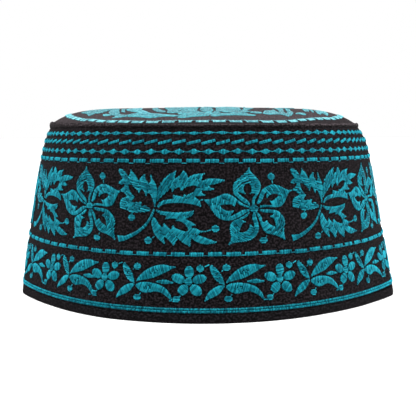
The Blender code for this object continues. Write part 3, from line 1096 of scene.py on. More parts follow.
class Stitches:
    """Plans of stitches on a chart.

    Each row of a plan holds a start and an end in millimetres, then 1 or 0 for each of these two,
    where 1 means that the end lies on the edge of its patch.
    """

    # An outline turns sharply past so many degrees, and each stretch of it is cut into so many steps
    corner_degrees = 52.0
    steps = 4

    # Millimetres: the shortest and longest threads, a running stitch, and how far ends lie past an edge
    shortest = 0.3
    longest = 4.2
    run_length = 1.7
    pull = 0.17

    # Shares: of the pitch, where the first thread lies; of the space between two tacks, how far they wander
    first_row = 0.45
    tack_wander = 0.3

    def __init__(self, pitch: float, seed: int = 5) -> None:
        """Set up the planner.

        Args:
            pitch: How close the threads lie, in millimetres.
            seed: What the places of the needle holes start from.
        """
        self.pitch = pitch
        self.dice = np.random.default_rng(seed)

    def smooth(self, outline: Sequence[Point]) -> np.ndarray:
        """Round an outline off between its sharp corners.

        Args:
            outline: The charted points, in order, not repeating the first.

        Returns:
            Points of the closed curve.
        """
        spots = np.array(outline, float)
        after = np.roll(spots, -1, 0) - spots
        before = spots - np.roll(spots, 1, 0)
        crossed = before[:, 0] * after[:, 1] - before[:, 1] * after[:, 0]
        turning = np.abs(np.degrees(np.arctan2(crossed, (before * after).sum(1))))
        heading = unit(unit(after) + unit(before))
        sharp = (turning > self.corner_degrees)[:, None]
        chord = np.linalg.norm(after, axis=1)[:, None]
        leaving = np.where(sharp, after, heading * chord)
        arriving = np.where(np.roll(sharp, -1, 0), after, np.roll(heading, -1, 0) * chord)
        pieces = []
        for step in range(self.steps):
            t = step / self.steps
            start, end = 2 * t**3 - 3 * t**2 + 1, 3 * t**2 - 2 * t**3
            out, into = t**3 - 2 * t**2 + t, t**3 - t**2
            curve = start * spots + end * np.roll(spots, -1, 0) + out * leaving + into * arriving
            pieces.append(curve)
        return np.stack(pieces, 1).reshape(-1, 2)

    def cuts(self, length: float) -> np.ndarray:
        """Choose where the needle tacks a thread down.

        Args:
            length: The thread's length, in millimetres.

        Returns:
            The tacks and both ends, as shares of the length from 0 to 1.
        """
        count = max(1, math.ceil(length / self.longest))
        wander = self.dice.uniform(-self.tack_wander, self.tack_wander, count - 1)
        return np.concatenate([[0.0], (np.arange(1, count) + wander) / count, [1.0]])

    @staticmethod
    def chain(spots: np.ndarray) -> np.ndarray:
        """Plan the stitches from point to point of one thread.

        Args:
            spots: The points, of which the first and the last lie on the patch's edge.

        Returns:
            The plan of its stitches.
        """
        edge = np.zeros((len(spots), 1))
        edge[[0, -1]] = 1.0
        return np.concatenate([spots[:-1], spots[1:], edge[:-1], edge[1:]], 1)

    def crossings(self, values: np.ndarray, others: np.ndarray, level: float) -> np.ndarray:
        """Where a closed curve crosses a level.

        Args:
            values: What is compared with the level, at each point of the curve.
            others: What is wanted where they cross, at each point.
            level: The level.

        Returns:
            The wanted values at the crossings, sorted and in pairs.
        """
        below = values <= level
        crosses = below != np.roll(below, -1)
        start, end = values[crosses], np.roll(values, -1)[crosses]
        first, last = others[crosses], np.roll(others, -1)[crosses]
        return np.sort(first + (level - start) / (end - start) * (last - first)).reshape(-1, 2)

    def threads(
        self, levels: np.ndarray, places: np.ndarray, turning: bool = False,
    ) -> Iterator[tuple[float, np.ndarray]]:
        """Find the threads that lie side by side within a closed curve.

        Args:
            levels: The distance across the threads, at each point of the curve.
            places: The distance along them, or the angle where they run in rings.
            turning: True where they run in rings, so that the level is a radius.

        Yields:
            The level of each thread, and the places of its tacks and ends.
        """
        for level in np.arange(levels.min() + self.pitch * self.first_row, levels.max(), self.pitch):
            reach = level if turning else 1.0
            for start, end in self.crossings(levels, places, level):
                if (end - start) * reach > self.shortest:
                    start -= self.pull / reach
                    end += self.pull / reach
                    yield level, start + (end - start) * self.cuts((end - start) * reach)

    def fill(self, patch: Patch) -> np.ndarray:
        """Lay threads side by side over a patch.

        Args:
            patch: The patch.

        Returns:
            The plan of its stitches.
        """
        curve = self.smooth(patch.outline)
        if patch.circling:
            return self.fill_round(curve)
        lay = math.radians(patch.lay)
        frame = np.array([[math.cos(lay), -math.sin(lay)], [math.sin(lay), math.cos(lay)]])
        curve = curve @ frame
        rows = []
        for level, places in self.threads(curve[:, 1], curve[:, 0]):
            rows.append(self.chain(np.stack([places, 0 * places + level], 1) @ frame.T))
        return np.concatenate(rows)

    def fill_round(self, curve: np.ndarray) -> np.ndarray:
        """Lay threads over a petal in rings round the figure's middle.

        Args:
            curve: The petal's outline.

        Returns:
            The plan of its stitches.
        """
        radius = np.hypot(curve[:, 0], curve[:, 1])
        middle = curve.mean(0)
        lean = math.atan2(middle[1], middle[0])
        angle = half_round(np.arctan2(curve[:, 1], curve[:, 0]) - lean)
        rows = []
        for level, places in self.threads(radius, angle, turning=True):
            turns = lean + places
            rows.append(self.chain(level * np.stack([np.cos(turns), np.sin(turns)], 1)))
        return np.concatenate(rows)

    def cross(self, column: Column) -> np.ndarray:
        """Lay threads from one rail of a stem to the other.

        Args:
            column: The stem's rails.

        Returns:
            The plan of its stitches.
        """
        rails = [np.array(rail, float) for rail in (column.left, column.right)]
        count = int(max(path_of(rail)[-1] for rail in rails) / self.pitch)
        left, right = (spaced(rail, count) for rail in rails)
        past = unit(right - left) * self.pull
        return edged(np.concatenate([left - past, right + past], 1))

    @classmethod
    def run(cls, run: Run) -> np.ndarray:
        """Lay running stitches through points.

        Args:
            run: The points.

        Returns:
            The plan of its stitches.
        """
        spots = np.array(run.points, float)
        count = max(1, round(path_of(spots)[-1] / cls.run_length))
        line = spaced(spots, count + 1)
        return edged(np.concatenate([line[:-1], line[1:]], 1))


def edged(lines: np.ndarray) -> np.ndarray:
    """The plan of stitches that each run from edge to edge."""
    return np.concatenate([lines, np.ones((len(lines), 2))], 1)


class Embroidery:
    """One sewn piece: many threads gathered into one mesh."""

    # Across a thread: share of its half-width, and share of its height
    profile = ((-1.0, -0.12), (-0.72, 0.62), (0.0, 1.0), (0.72, 0.62), (1.0, -0.12))

    # Along a thread: share of its height at the first bend, the middle and the last bend
    arch = (0.8, 1.0, 0.8)

    # Millimetres: how deep an end dips into the cloth at a patch's edge, how far from its end a thread
    # bends there and at an inner tack, and how far its ends wander
    dip = 0.10
    edge_bend = 0.42
    inner_bend = 0.24
    end_wander = 0.035

    # Shares: the most of a stitch's length that a bend takes, how high an inner tack stands, how widths
    # and heights vary, and how much of both a loose thread has
    longest_bend = 0.27
    inner_lift = 0.3
    width_range = (0.94, 1.08)
    height_range = (0.92, 1.08)
    thin = 0.5

    # The shade of the threads, which varies at random, its spread, and the painted highlight that makes
    # them brighter at a patch's edge
    tone = 0.36
    tone_spread = 0.26
    rim_painted_highlight = 0.30

    def __init__(self, name: str, seed: int) -> None:
        """Start an empty piece.

        Args:
            name: The piece's name.
            seed: What its chance starts from.
        """
        self.name = name
        self.dice = np.random.default_rng(seed)
        self.points: list[np.ndarray] = []
        self.faces: list[np.ndarray] = []
        self.lifts: list[np.ndarray] = []
        self.shades: list[np.ndarray] = []
        self.maps: list[np.ndarray] = []
        self.count = 0

    def bends(self, lengths: np.ndarray, edge: np.ndarray) -> np.ndarray:
        """Choose where each thread bends.

        Args:
            lengths: The stitches' lengths, in millimetres.
            edge: For both ends of each stitch, 1 on the patch's edge and 0 within it.

        Returns:
            Five shares of each length: the start, the first bend, the middle, the last bend and the end.
        """
        bend = self.inner_bend + (self.edge_bend - self.inner_bend) * edge
        bend = np.minimum(bend, self.longest_bend * lengths[:, None]) / lengths[:, None]
        first, last = bend[:, 0], 1 - bend[:, 1]
        return np.stack([0 * first, first, (first + last) / 2, last, 0 * first + 1], 1)

    def sew(
        self, ground: Ground, plan: np.ndarray, width: float, height: float, slack: float = 0.015,
    ) -> None:
        """Sew stitches onto the cloth.

        Args:
            ground: Where on the cap the chart lies.
            plan: The plan of the stitches.
            width: The thread's width, in millimetres.
            height: How far the thread stands above the cloth, in millimetres.
            slack: The share of stitches that are thin and low, which lets the black cloth show.
        """
        if not len(plan):
            return
        stitches, edge = len(plan), plan[:, 4:]
        lines = plan[:, :4] + self.dice.normal(0.0, self.end_wander, (stitches, 4))
        reach = lines[:, 2:] - lines[:, :2]
        lengths = np.maximum(np.hypot(reach[:, 0], reach[:, 1]), 1e-3)
        stations = self.bends(lengths, edge)
        points, normals = ground.place(lines[:, None, :2] + reach[:, None, :] * stations[..., None])
        heading = points[:, -1] - points[:, 0]
        side = unit(np.cross(heading[:, None, :], normals))
        loose = np.where(self.dice.random(stitches) < slack, self.thin, 1.0)
        widths = width * MM / 2 * self.dice.uniform(*self.width_range, stitches) * loose
        heights = height * MM * self.dice.uniform(*self.height_range, stitches) * loose
        # Each thread's shade varies at random; at a patch's edge it gets a painted highlight
        tone = self.dice.normal(self.tone, self.tone_spread, stitches)
        tones = np.stack([tone + self.rim_painted_highlight * edge[:, 0], tone, tone + self.rim_painted_highlight * edge[:, 1]], 1)

        # Each end is a point, and each of the three stations between them a ring of the profile
        across, share = np.array(self.profile).T
        rises = (heights[:, None] * self.arch)[:, :, None] * share
        rings = points[:, 1:4, None] + side[:, 1:4, None] * (widths[:, None] * across)[:, None, :, None]
        rings = rings + normals[:, 1:4, None] * rises[..., None]
        sunk = np.where(edge > 0, -self.dip * MM, self.inner_lift * heights[:, None])
        tips = points[:, [0, 4]] + normals[:, [0, 4]] * sunk[..., None]
        block = np.concatenate([tips[:, :1], rings.reshape(stitches, -1, 3), tips[:, 1:]], 1)
        self.points.append(block.reshape(-1, 3))
        # Lift is 0 at a thread's dips and low sides and 1 on its top; it places the painted shade and the
        # painted highlight
        self.lifts.append(np.tile(self.by_point(0.0, np.maximum(0.0, share)), stitches))
        sizes = (1, len(share), len(share), len(share), 1)
        shades = np.repeat(tones[:, [0, 0, 1, 2, 2]], sizes, 1)
        self.shades.append(np.clip(shades, 0.0, 1.0).ravel())
        along = np.repeat(stations * lengths[:, None] * MM, sizes, 1)
        around = self.by_point(0.5, np.linspace(0.0, 1.0, len(share)))
        self.maps.append(np.stack([along, 0 * along + around], -1).reshape(-1, 2))
        each = block.shape[1]
        starts = self.count + np.arange(stitches)[:, None, None] * each
        self.faces.append((starts + self.pattern()[None]).reshape(-1, 3))
        self.count += stitches * each

    @staticmethod
    def by_point(at_end: float, on_ring: np.ndarray) -> np.ndarray:
        """A value for each point of a stitch, from its value at the ends and its values on a ring."""
        return np.concatenate([[at_end], on_ring, on_ring, on_ring, [at_end]])

    def pattern(self) -> np.ndarray:
        """The triangles of one stitch.

        Returns:
            Numbers of its points, three to a triangle, turning outwards.
        """
        wide = len(self.profile)
        rings = [[1 + wide * row + index for index in range(wide)] for row in range(3)]
        last = 1 + wide * 3
        faces = []
        for index in range(wide):
            following = (index + 1) % wide
            faces.append((0, rings[0][following], rings[0][index]))
            faces.append((last, rings[2][index], rings[2][following]))
            for lower, upper in zip(rings, rings[1:]):
                faces.append((lower[index], lower[following], upper[following]))
                faces.append((lower[index], upper[following], upper[index]))
        return np.array(faces)

    def finish(self, material: bpy.types.Material) -> bpy.types.Object:
        """Make the piece's mesh and dress it.

        Args:
            material: The thread's material.

        Returns:
            The piece, which rides on the cap.
        """
        points = np.concatenate(self.points).astype(np.float32)
        faces = np.concatenate(self.faces).astype(np.int32)
        mesh = bpy.data.meshes.new(self.name)
        mesh.vertices.add(len(points))
        mesh.vertices.foreach_set("co", points.ravel())
        mesh.loops.add(faces.size)
        mesh.loops.foreach_set("vertex_index", faces.ravel())
        mesh.polygons.add(len(faces))
        mesh.polygons.foreach_set("loop_start", np.arange(0, faces.size, 3, dtype=np.int32))
        mesh.update(calc_edges=True)
        for name, values in (("lift", self.lifts), ("shade", self.shades)):
            layer = mesh.attributes.new(name, "FLOAT", "POINT")
            layer.data.foreach_set("value", np.concatenate(values).astype(np.float32))
        threads = mesh.uv_layers.new(name="thread")
        flat = np.concatenate(self.maps).astype(np.float32)[faces.ravel()]
        threads.data.foreach_set("uv", flat.ravel())
        mesh.shade_smooth()
        mesh.validate()
        mesh.materials.append(material)
        piece = bpy.data.objects.new(self.name, mesh)
        bpy.context.scene.collection.objects.link(piece)
        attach(piece, "root")
        LOG.info("%s: %d triangles", self.name, len(faces))
        return piece


# Rows of blocks: the share of thin threads in a block, and the height of the thread between two blocks
BLOCK_SLACK = 0.03
JOINT_RELIEF = 0.26


@dataclass(frozen=True)
class DashRow:
    """A row of short satin blocks with a thread running on between them, in millimetres."""

    low: float
    high: float
    count: int
    dash: float
    gap_at: float
    thread_height: float
    sags: Pair = (0.0, 0.0)
    pitch: float = 0.46
    fullness: float = 1.08
    relief: float = 0.45
    thread: float = 0.3
    tuck: float = 0.3
    lean: float = 0.05
    bulge: float = 0.07
    wander: float = 0.06
    length_spread: float = 0.12

    def sew(self, piece: Embroidery, form: CapForm) -> None:
        """Sew the row round the band.

        Args:
            piece: The piece that takes the stitches.
            form: The cap's surfaces.
        """
        middle = (self.low + self.high) / 2
        step = form.girth(middle * MM) / MM / self.count
        half = (self.high - self.low) / 2
        for index in range(self.count):
            centre = self.gap_at + (index + 0.5) * step
            wander = float(piece.dice.normal(0.0, self.wander)) - sag(form, centre, middle, self.sags)
            ground = BandGround(form, centre, middle + wander, middle)
            length = self.dash + float(piece.dice.normal(0.0, self.length_spread))
            places = np.arange(-length / 2 + self.pitch / 2, length / 2, self.pitch)
            bulge = half + self.bulge * np.cos(places * math.pi / length)
            lines = np.stack([places - self.lean, -bulge, places + self.lean, bulge], 1)
            piece.sew(ground, edged(lines), self.pitch * self.fullness, self.relief, BLOCK_SLACK)
            start, end = self.dash / 2, step - self.dash / 2
            low = self.thread_height - middle
            joint = Run((
                (start - self.tuck, low + self.tuck), ((start + end) / 2, low),
                (end + self.tuck, low + self.tuck),
            ))
            piece.sew(ground, Stitches.run(joint), self.thread, JOINT_RELIEF, 0.0)


@dataclass(frozen=True)
class DiamondRow:
    """A row of long low diamonds of satin stitch, joined by a thread, in millimetres."""

    height: float
    count: int
    length: float
    tall: float
    first_at: float
    sags: Pair = (0.0, 0.0)

    # How much taller the diamonds are towards the ears, which comes in over a range of the turn's sine
    taller_aside: float = 0.0
    aside_range: Pair = (0.35, 0.60)
    pitch: float = 0.42
    fullness: float = 1.1
    relief: float = 0.36
    thread: float = 0.24
    thread_low: float = 0.05
    tuck: float = 0.4
    lean: float = 0.12
    taper: float = 1.2
    blunt: float = 0.1
    wander: float = 0.05

    def sew(self, piece: Embroidery, form: CapForm) -> None:
        """Sew the row round the band.

        Args:
            piece: The piece that takes the stitches.
            form: The cap's surfaces.
        """
        gauge = self.height * MM
        step = form.girth(gauge) / MM / self.count
        for index in range(self.count):
            centre = self.first_at + index * step
            wander = float(piece.dice.normal(0.0, self.wander)) - sag(form, centre, self.height, self.sags)
            ground = BandGround(form, centre, self.height + wander, self.height)
            places = np.arange(-self.length / 2 + self.pitch / 2, self.length / 2, self.pitch)
            aside = abs(math.sin(float(form.turn_at(centre * MM, gauge))))
            tall = self.tall + self.taller_aside * float(np.interp(aside, self.aside_range, (0.0, 1.0)))
            half = tall / 2 * (1 - (2 * np.abs(places) / self.length) ** self.taper) + self.blunt
            lines = np.stack([places - self.lean, -half, places + self.lean, half], 1)
            piece.sew(ground, edged(lines), self.pitch * self.fullness, self.relief, BLOCK_SLACK)
            start, end = self.length / 2 - self.tuck, step - self.length / 2 + self.tuck
            joint = Run(((start, -self.thread_low), (end, -self.thread_low)))
            piece.sew(ground, Stitches.run(joint), self.thread, JOINT_RELIEF, 0.0)


@dataclass(frozen=True)
class SlantedRow:
    """A row of slanted bars of satin stitch, in millimetres."""

    low: float
    high: float
    count: int
    run_across: float
    first_at: float
    sags: Pair = (0.0, 0.0)
    thick: float = 1.48
    blunt: float = 0.88
    rounding: float = 3.0
    pitch: float = 0.42
    fullness: float = 1.1
    relief: float = 0.42
    lean: float = 0.1
    wander: float = 0.04

    def sew(self, piece: Embroidery, form: CapForm) -> None:
        """Sew the row round the band.

        Args:
            piece: The piece that takes the stitches.
            form: The cap's surfaces.
        """
        middle = (self.low + self.high) / 2
        step = form.girth(middle * MM) / MM / self.count
        for index in range(self.count):
            start = self.first_at + index * step
            low = self.low - sag(form, start, middle, self.sags)
            low += float(piece.dice.normal(0.0, self.wander))
            ground = BandGround(form, start, low, middle)
            share = np.arange(0.0, 1.0, self.pitch / self.run_across)
            x, y = share * self.run_across, share * (self.high - self.low)
            full = np.minimum(1.0, self.blunt + self.rounding * np.minimum(share, 1 - share))
            half = self.thick / 2 * full
            lines = np.stack([x + self.lean, y - half, x - self.lean, y + half], 1)
            piece.sew(ground, edged(lines), self.pitch * self.fullness, self.relief, BLOCK_SLACK)


@dataclass(frozen=True)
class BorderRidge:
    """A narrow satin cord that runs the whole way round, in millimetres."""

    low: float
    high: float
    sags: Pair = (0.0, 0.0)
    pitch: float = 0.47
    fullness: float = 0.9
    relief: float = 0.5
    slant: float = 0.16
    slack: float = 0.02

    def sew(self, piece: Embroidery, form: CapForm) -> None:
        """Sew the cord round the band.

        Args:
            piece: The piece that takes the stitches.
            form: The cap's surfaces.
        """
        girth = form.girth(self.low * MM) / MM
        places = np.linspace(0.0, girth, round(girth / self.pitch), endpoint=False)
        drop = sag(form, places, self.low, self.sags)
        ground = BandGround(form, 0.0, self.low, self.low)
        lines = np.stack([places, -drop, places + self.slant, self.high - self.low - drop], 1)
        piece.sew(ground, edged(lines), self.pitch * self.fullness, self.relief, self.slack)


def sag(form: CapForm, arc: np.ndarray, gauge: float, most: Pair) -> np.ndarray:
    """How much lower a row lies towards the ears, in millimetres.

    Args:
        form: The cap's surfaces.
        arc: Places along the row, in millimetres.
        gauge: The row's height, in millimetres.
        most: How much lower it lies at the left ear and at the right ear.

    Returns:
        The drop at each place.
    """
    side = np.sin(form.turn_at(np.asarray(arc) * MM, gauge * MM))
    return most[0] * np.maximum(0.0, -side) + most[1] * np.maximum(0.0, side)


@dataclass
class MotifSewer:
    """Sews figures from their charts, each thread planned once and placed many times."""

    planner: Stitches
    width: float = 0.45
    height: float = 0.46
    run_width: float = 0.5
    run_height: float = 0.34
    plans: dict[int, tuple[np.ndarray, np.ndarray]] = field(default_factory=dict)

    def planned(self, motif: Motif) -> tuple[np.ndarray, np.ndarray]:
        """Plan a figure's stitches, or find them again.

        Args:
            motif: The figure.

        Returns:
            The plans of its satin stitches and its running stitches.
        """
        if id(motif) not in self.plans:
            satin = [self.planner.fill(patch) for patch in motif.patches]
            satin += [self.planner.fill(oval.patch()) for oval in motif.ovals]
            satin += [self.planner.cross(column) for column in motif.columns]
            runs = [self.planner.run(run) for run in motif.runs]
            none = np.zeros((0, 6))
            self.plans[id(motif)] = (np.concatenate(satin), np.concatenate([none, *runs]))
        return self.plans[id(motif)]

    def sew(self, piece: Embroidery, motif: Motif, ground: Ground) -> None:
        """Sew one figure.

        Args:
            piece: The piece that takes the stitches.
            motif: The figure.
            ground: Where it lies.
        """
        satin, runs = self.planned(motif)
        piece.sew(ground, satin, self.width, self.height)
        piece.sew(ground, runs, self.run_width, self.run_height, 0.0)


@dataclass(frozen=True)
class Ring:
    """A level oval of a lofted cloth: its half-width, half-length and height."""

    across: float
    along: float
    height: float


class Modeller:
    """Modelling steps that the cloth pieces share."""

    @staticmethod
    def start() -> None:
        """Leave nothing selected, so that an operator acts on the new piece alone."""
        if bpy.context.object is not None and bpy.context.object.mode != "OBJECT":
            bpy.ops.object.mode_set(mode="OBJECT")
        bpy.ops.object.select_all(action="DESELECT")

    @classmethod
    def loft(cls, name: str, rings: Sequence[Ring], stations: int, closed: bool) -> bpy.types.Object:
        """Extrude an oval from ring to ring.

        Args:
            name: The piece's name.
            rings: The ovals, in order along the section.
            stations: How many points each has.
            closed: True to bridge the last ring to the first, or else both ends are filled.

        Returns:
            The new piece, in object mode.
        """
        cls.start()
        bpy.ops.mesh.primitive_circle_add(vertices=stations, radius=1.0, fill_type="NOTHING")
        piece = bpy.context.object
        piece.name = piece.data.name = name
        bpy.ops.object.mode_set(mode="EDIT")
        bpy.ops.mesh.select_all(action="SELECT")
        first = rings[0]
        bpy.ops.transform.resize(value=(first.across, first.along, 1.0), center_override=(0.0, 0.0, 0.0))
        bpy.ops.transform.translate(value=(0.0, 0.0, first.height))
        for lower, upper in zip(rings, rings[1:]):
            lift = (0.0, 0.0, upper.height - lower.height)
            bpy.ops.mesh.extrude_region_move(TRANSFORM_OT_translate={"value": lift})
            grow = (upper.across / lower.across, upper.along / lower.along, 1.0)
            bpy.ops.transform.resize(value=grow, center_override=(0.0, 0.0, upper.height))
        bpy.ops.mesh.select_all(action="DESELECT")
        bpy.ops.mesh.select_non_manifold(extend=False)
        if closed:
            bpy.ops.mesh.bridge_edge_loops()
        else:
            bpy.ops.mesh.fill_holes(sides=0)
            bpy.ops.mesh.select_face_by_sides(number=4, type="GREATER")
            bpy.ops.mesh.poke()
        bpy.ops.mesh.select_all(action="SELECT")
        bpy.ops.mesh.normals_make_consistent(inside=False)
        bpy.ops.object.mode_set(mode="OBJECT")
        return piece

    @staticmethod
    def points(piece: bpy.types.Object) -> np.ndarray:
        """Read the piece's points.

        Args:
            piece: The piece.

        Returns:
            Its points, one to a row.
        """
        places = np.empty(len(piece.data.vertices) * 3, np.float32)
        piece.data.vertices.foreach_get("co", places)
        return places.reshape(-1, 3).astype(float)

    @staticmethod
    def move(piece: bpy.types.Object, points: np.ndarray) -> None:
        """Put the piece's points in new places."""
        piece.data.vertices.foreach_set("co", points.astype(np.float32).ravel())
        piece.data.update()

    @staticmethod
    def map_cloth(piece: bpy.types.Object, flat: np.ndarray, period: float) -> None:
        """Give a piece its cloth map, in metres.

        Args:
            piece: The piece.
            flat: The place of each point on the flat cloth.
            period: The distance round, after which the map begins again, or 0.
        """
        mesh = piece.data
        loops = np.empty(len(mesh.loops), np.int32)
        mesh.loops.foreach_get("vertex_index", loops)
        places = flat[loops]
        if period:
            sizes = np.empty(len(mesh.polygons), np.int32)
            mesh.polygons.foreach_get("loop_total", sizes)
            owner = np.repeat(np.arange(len(sizes)), sizes)
            highest = np.full(len(sizes), -np.inf)
            np.maximum.at(highest, owner, places[:, 0])
            places[:, 0] += period * (places[:, 0] < highest[owner] - period / 2)
        while mesh.uv_layers:
            mesh.uv_layers.remove(mesh.uv_layers[0])
        layer = mesh.uv_layers.new(name="cloth")
        layer.data.foreach_set("uv", places.astype(np.float32).ravel())

    @staticmethod
    def tone(piece: bpy.types.Object, values: np.ndarray) -> None:
        """Give the points the share of painted shading that their cloth takes: painted shade on the band
        and the crown, a painted highlight on the lip.
        """
        layer = piece.data.attributes.new("tone", "FLOAT", "POINT")
        layer.data.foreach_set("value", np.clip(values, 0.0, 1.0).astype(np.float32))

    @staticmethod
    def dress(piece: bpy.types.Object, material: bpy.types.Material, slot: str) -> None:
        """Shade a piece, give it its material and let it ride on the cap.

        Args:
            piece: The finished piece.
            material: Its material.
            slot: The record's material slot, which is not used.
        """
        bpy.ops.object.select_all(action="DESELECT")
        piece.select_set(True)
        bpy.context.view_layer.objects.active = piece
        bpy.ops.object.shade_smooth_by_angle(angle=math.radians(50))
        piece.data.materials.clear()
        piece.data.materials.append(material)
        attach(piece, "root")
        LOG.info("%s: %d faces", piece.name, len(piece.data.polygons))


def round_corner(
    inset: float, height: float, radius: float, start: float, sweep: float = 90.0, steps: int = 5,
) -> list[Point]:
    """Points of a rounded corner in a section of the cloth, about its own centre.

    Args:
        inset: How far the centre lies inside the band's line.
        height: The centre's height.
        radius: The corner's radius.
        start: Where the corner starts, in degrees: 0 is the inside of the cap, 90 is straight up.
        sweep: How far it turns, in degrees.
        steps: How many straight pieces it has.

    Returns:
        The inset and height of each point.
    """
    angles = [math.radians(start + sweep * step / steps) for step in range(steps + 1)]
    return [(inset + radius * math.cos(angle), height + radius * math.sin(angle)) for angle in angles]


@dataclass
class CapCloth:
    """The four pieces of black cloth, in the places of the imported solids."""

    form: CapForm
    band_wall: float = 2.4 * MM
    crown_wall: float = 2.0 * MM
    clearance: float = 0.3 * MM
    seam_inset: float = 0.78 * MM
    seam_foot: float = 70.2 * MM
    seam_above_crown: float = 0.75 * MM
    seam_half_width: float = 0.85 * MM
    seam_ripple: float = 0.08 * MM
    hem_proud: float = 0.25 * MM
    hem_turn_height: float = 10.5 * MM
    hem_turn_wall: float = 1.0 * MM
    hem_corner: float = 0.8 * MM
    map_height: float = 40.0 * MM
    stations: int = 360
    seam_stations: int = 256

    # Where the band, the lip and the crown take their painted shading colours: painted shade along the
    # band's top under the lip, a painted highlight along the lip's top, and painted shade on the crown's
    # margin out to the ring. A table has turns in degrees from the front, then the share of the painted
    # shading there. The lip's second table has how high on it the painted highlight begins, from -1 at its
    # foot to 1 at its top. The other values say where it begins and how softly.
    band_shade: Table = ((-44.0, -28.0, 22.0, 38.0), (0.0, 1.0, 1.0, 0.0))
    band_shade_from: float = 69.3 * MM
    band_shade_over: float = 0.5 * MM
    seam_painted_highlight: Table = ((-40.0, -18.0, -2.0), (0.55, 0.3, 1.0))
    seam_painted_highlight_above: Table = ((-40.0, -22.0, 25.0, 45.0), (-0.1, 0.5, 0.5, 0.15))
    seam_painted_highlight_over: float = 0.25
    crown_margin_painted_shade: Table = ((-38.0, -24.0), (0.35, 0.95))
    painted_shade_past_ring: float = 0.6 * MM
    painted_shade_over: float = 0.8 * MM

    def ring(self, inset: float, height: float) -> Ring:
        """An oval a distance inside the band's line at its own height."""
        across = float(self.form.half_width(height)) - inset
        return Ring(across, across + self.form.length_excess, height)

    def turns(self, points: np.ndarray) -> np.ndarray:
        """The turn of each point round the oval, from its place on the plan."""
        across = self.form.half_width(points[:, 2])
        return np.arctan2(points[:, 0] / across, -points[:, 1] / (across + self.form.length_excess))

    def map_round(self, piece: bpy.types.Object, turn: np.ndarray, up: np.ndarray, height: float) -> None:
        """Map a piece round the oval by its turns and a distance up the cloth.

        Args:
            piece: The piece.
            turn: The turn of each of its points.
            up: The distance of each point up the cloth.
            height: The height at which the distance round is measured.
        """
        flat = np.stack([np.interp(turn, *self.form.arc_table(height)), up], 1)
        Modeller.map_cloth(piece, flat, self.form.girth(height))

    def band(self, finish: ClothFinish) -> bpy.types.Object:
        """Make the side band: its outer face with its puckers, its top, and its plain inner face.

        Args:
            finish: The cloth's finish.

        Returns:
            The piece.
        """
        bottom, top = self.form.hem_height + 0.05 * MM, self.form.band_top
        rows = 48
        outer_heights = [bottom + (top - bottom) * row / rows for row in range(rows + 1)]
        inner_heights = [top, top * 0.9, top * 0.8, top * 0.55, top * 0.3, bottom]
        rings = [self.ring(0.0, height) for height in outer_heights]
        rings += [self.ring(self.band_wall, height) for height in inner_heights]
        piece = Modeller.loft("band_cloth", rings, self.stations, closed=True)
        points = Modeller.points(piece)
        turn = self.turns(points)
        height = points[:, 2].copy()
        across = self.form.half_width(height)
        share = np.hypot(points[:, 0] / across, points[:, 1] / (across + self.form.length_excess))
        outer = (1 - share) * across < self.band_wall / 2
        self.map_round(piece, turn, np.where(outer, height, 2 * top - height), self.map_height)
        _, normal = self.form.band_place(turn, height)
        within = (height > bottom + 1 * MM) & (height < top - 1 * MM)
        relief = self.form.band_relief(turn, height) * (outer & within) + self.form.ear_folds(turn, height)
        Modeller.move(piece, self.form.draw_in(points + normal * relief[:, None]))
        # Painted shade along the top of the band's outer face, under the lip, round the front
        shaded = np.interp(np.degrees(turn), *self.band_shade)
        near_top = np.clip((height - self.band_shade_from) / self.band_shade_over, 0.0, 1.0)
        Modeller.tone(piece, outer * shaded * near_top)
        Modeller.dress(piece, finish.material(), "band_cloth")
        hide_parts("side_band")
        return piece

    def hem(self, finish: ClothFinish) -> bpy.types.Object:
        """Make the folded edge: a flat foot, a creased outer face and the turn up the inside.

        Args:
            finish: The cloth's finish.

        Returns:
            The piece.
        """
        inner = self.band_wall + self.clearance + self.hem_turn_wall
        outer, radius, half_turn = -self.hem_proud, self.hem_corner, self.hem_turn_wall / 2
        straight = self.form.hem_height - 2 * radius
        section = [
            *round_corner(inner - radius, radius, radius, -90),
            *round_corner(inner - half_turn, self.hem_turn_height - half_turn, half_turn, 0, 180),
            (self.band_wall + self.clearance, self.form.hem_height),
            *round_corner(outer + radius, self.form.hem_height - radius, radius, 90),
            (outer, radius + straight * 0.66), (outer, radius + straight * 0.33),
            *round_corner(outer + radius, radius, radius, 180),
        ]
        rings = [self.ring(inset, height) for inset, height in section]
        piece = Modeller.loft("hem_cloth", rings, self.stations, closed=True)
        points = Modeller.points(piece)
        turn = self.turns(points)
        up = np.repeat(path_of(np.array(section)), self.stations)
        self.map_round(piece, turn, up, self.map_height)
        _, normal = self.form.band_place(turn, points[:, 2])
        normal[:, 2] = 0.0
        Modeller.move(piece, points + normal * self.form.ear_folds(turn, points[:, 2])[:, None])
        Modeller.dress(piece, finish.material(), "hem_cloth")
        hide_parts("hem_fold")
        return piece

    def seam(self, finish: ClothFinish) -> bpy.types.Object:
        """Make the rolled lip round the crown, a little lumpy where its stitches pull.

        Args:
            finish: The cloth's finish.

        Returns:
            The piece.
        """
        Modeller.start()
        bpy.ops.mesh.primitive_torus_add(
            major_segments=self.seam_stations, minor_segments=12, major_radius=1.0, minor_radius=0.1,
            generate_uvs=False,
        )
        piece = bpy.context.object
        piece.name = piece.data.name = "seam_cloth"
        points = Modeller.points(piece)
        turn = np.arctan2(points[:, 0], -points[:, 1])
        side = np.arctan2(points[:, 2], np.hypot(points[:, 0], points[:, 1]) - 1.0)

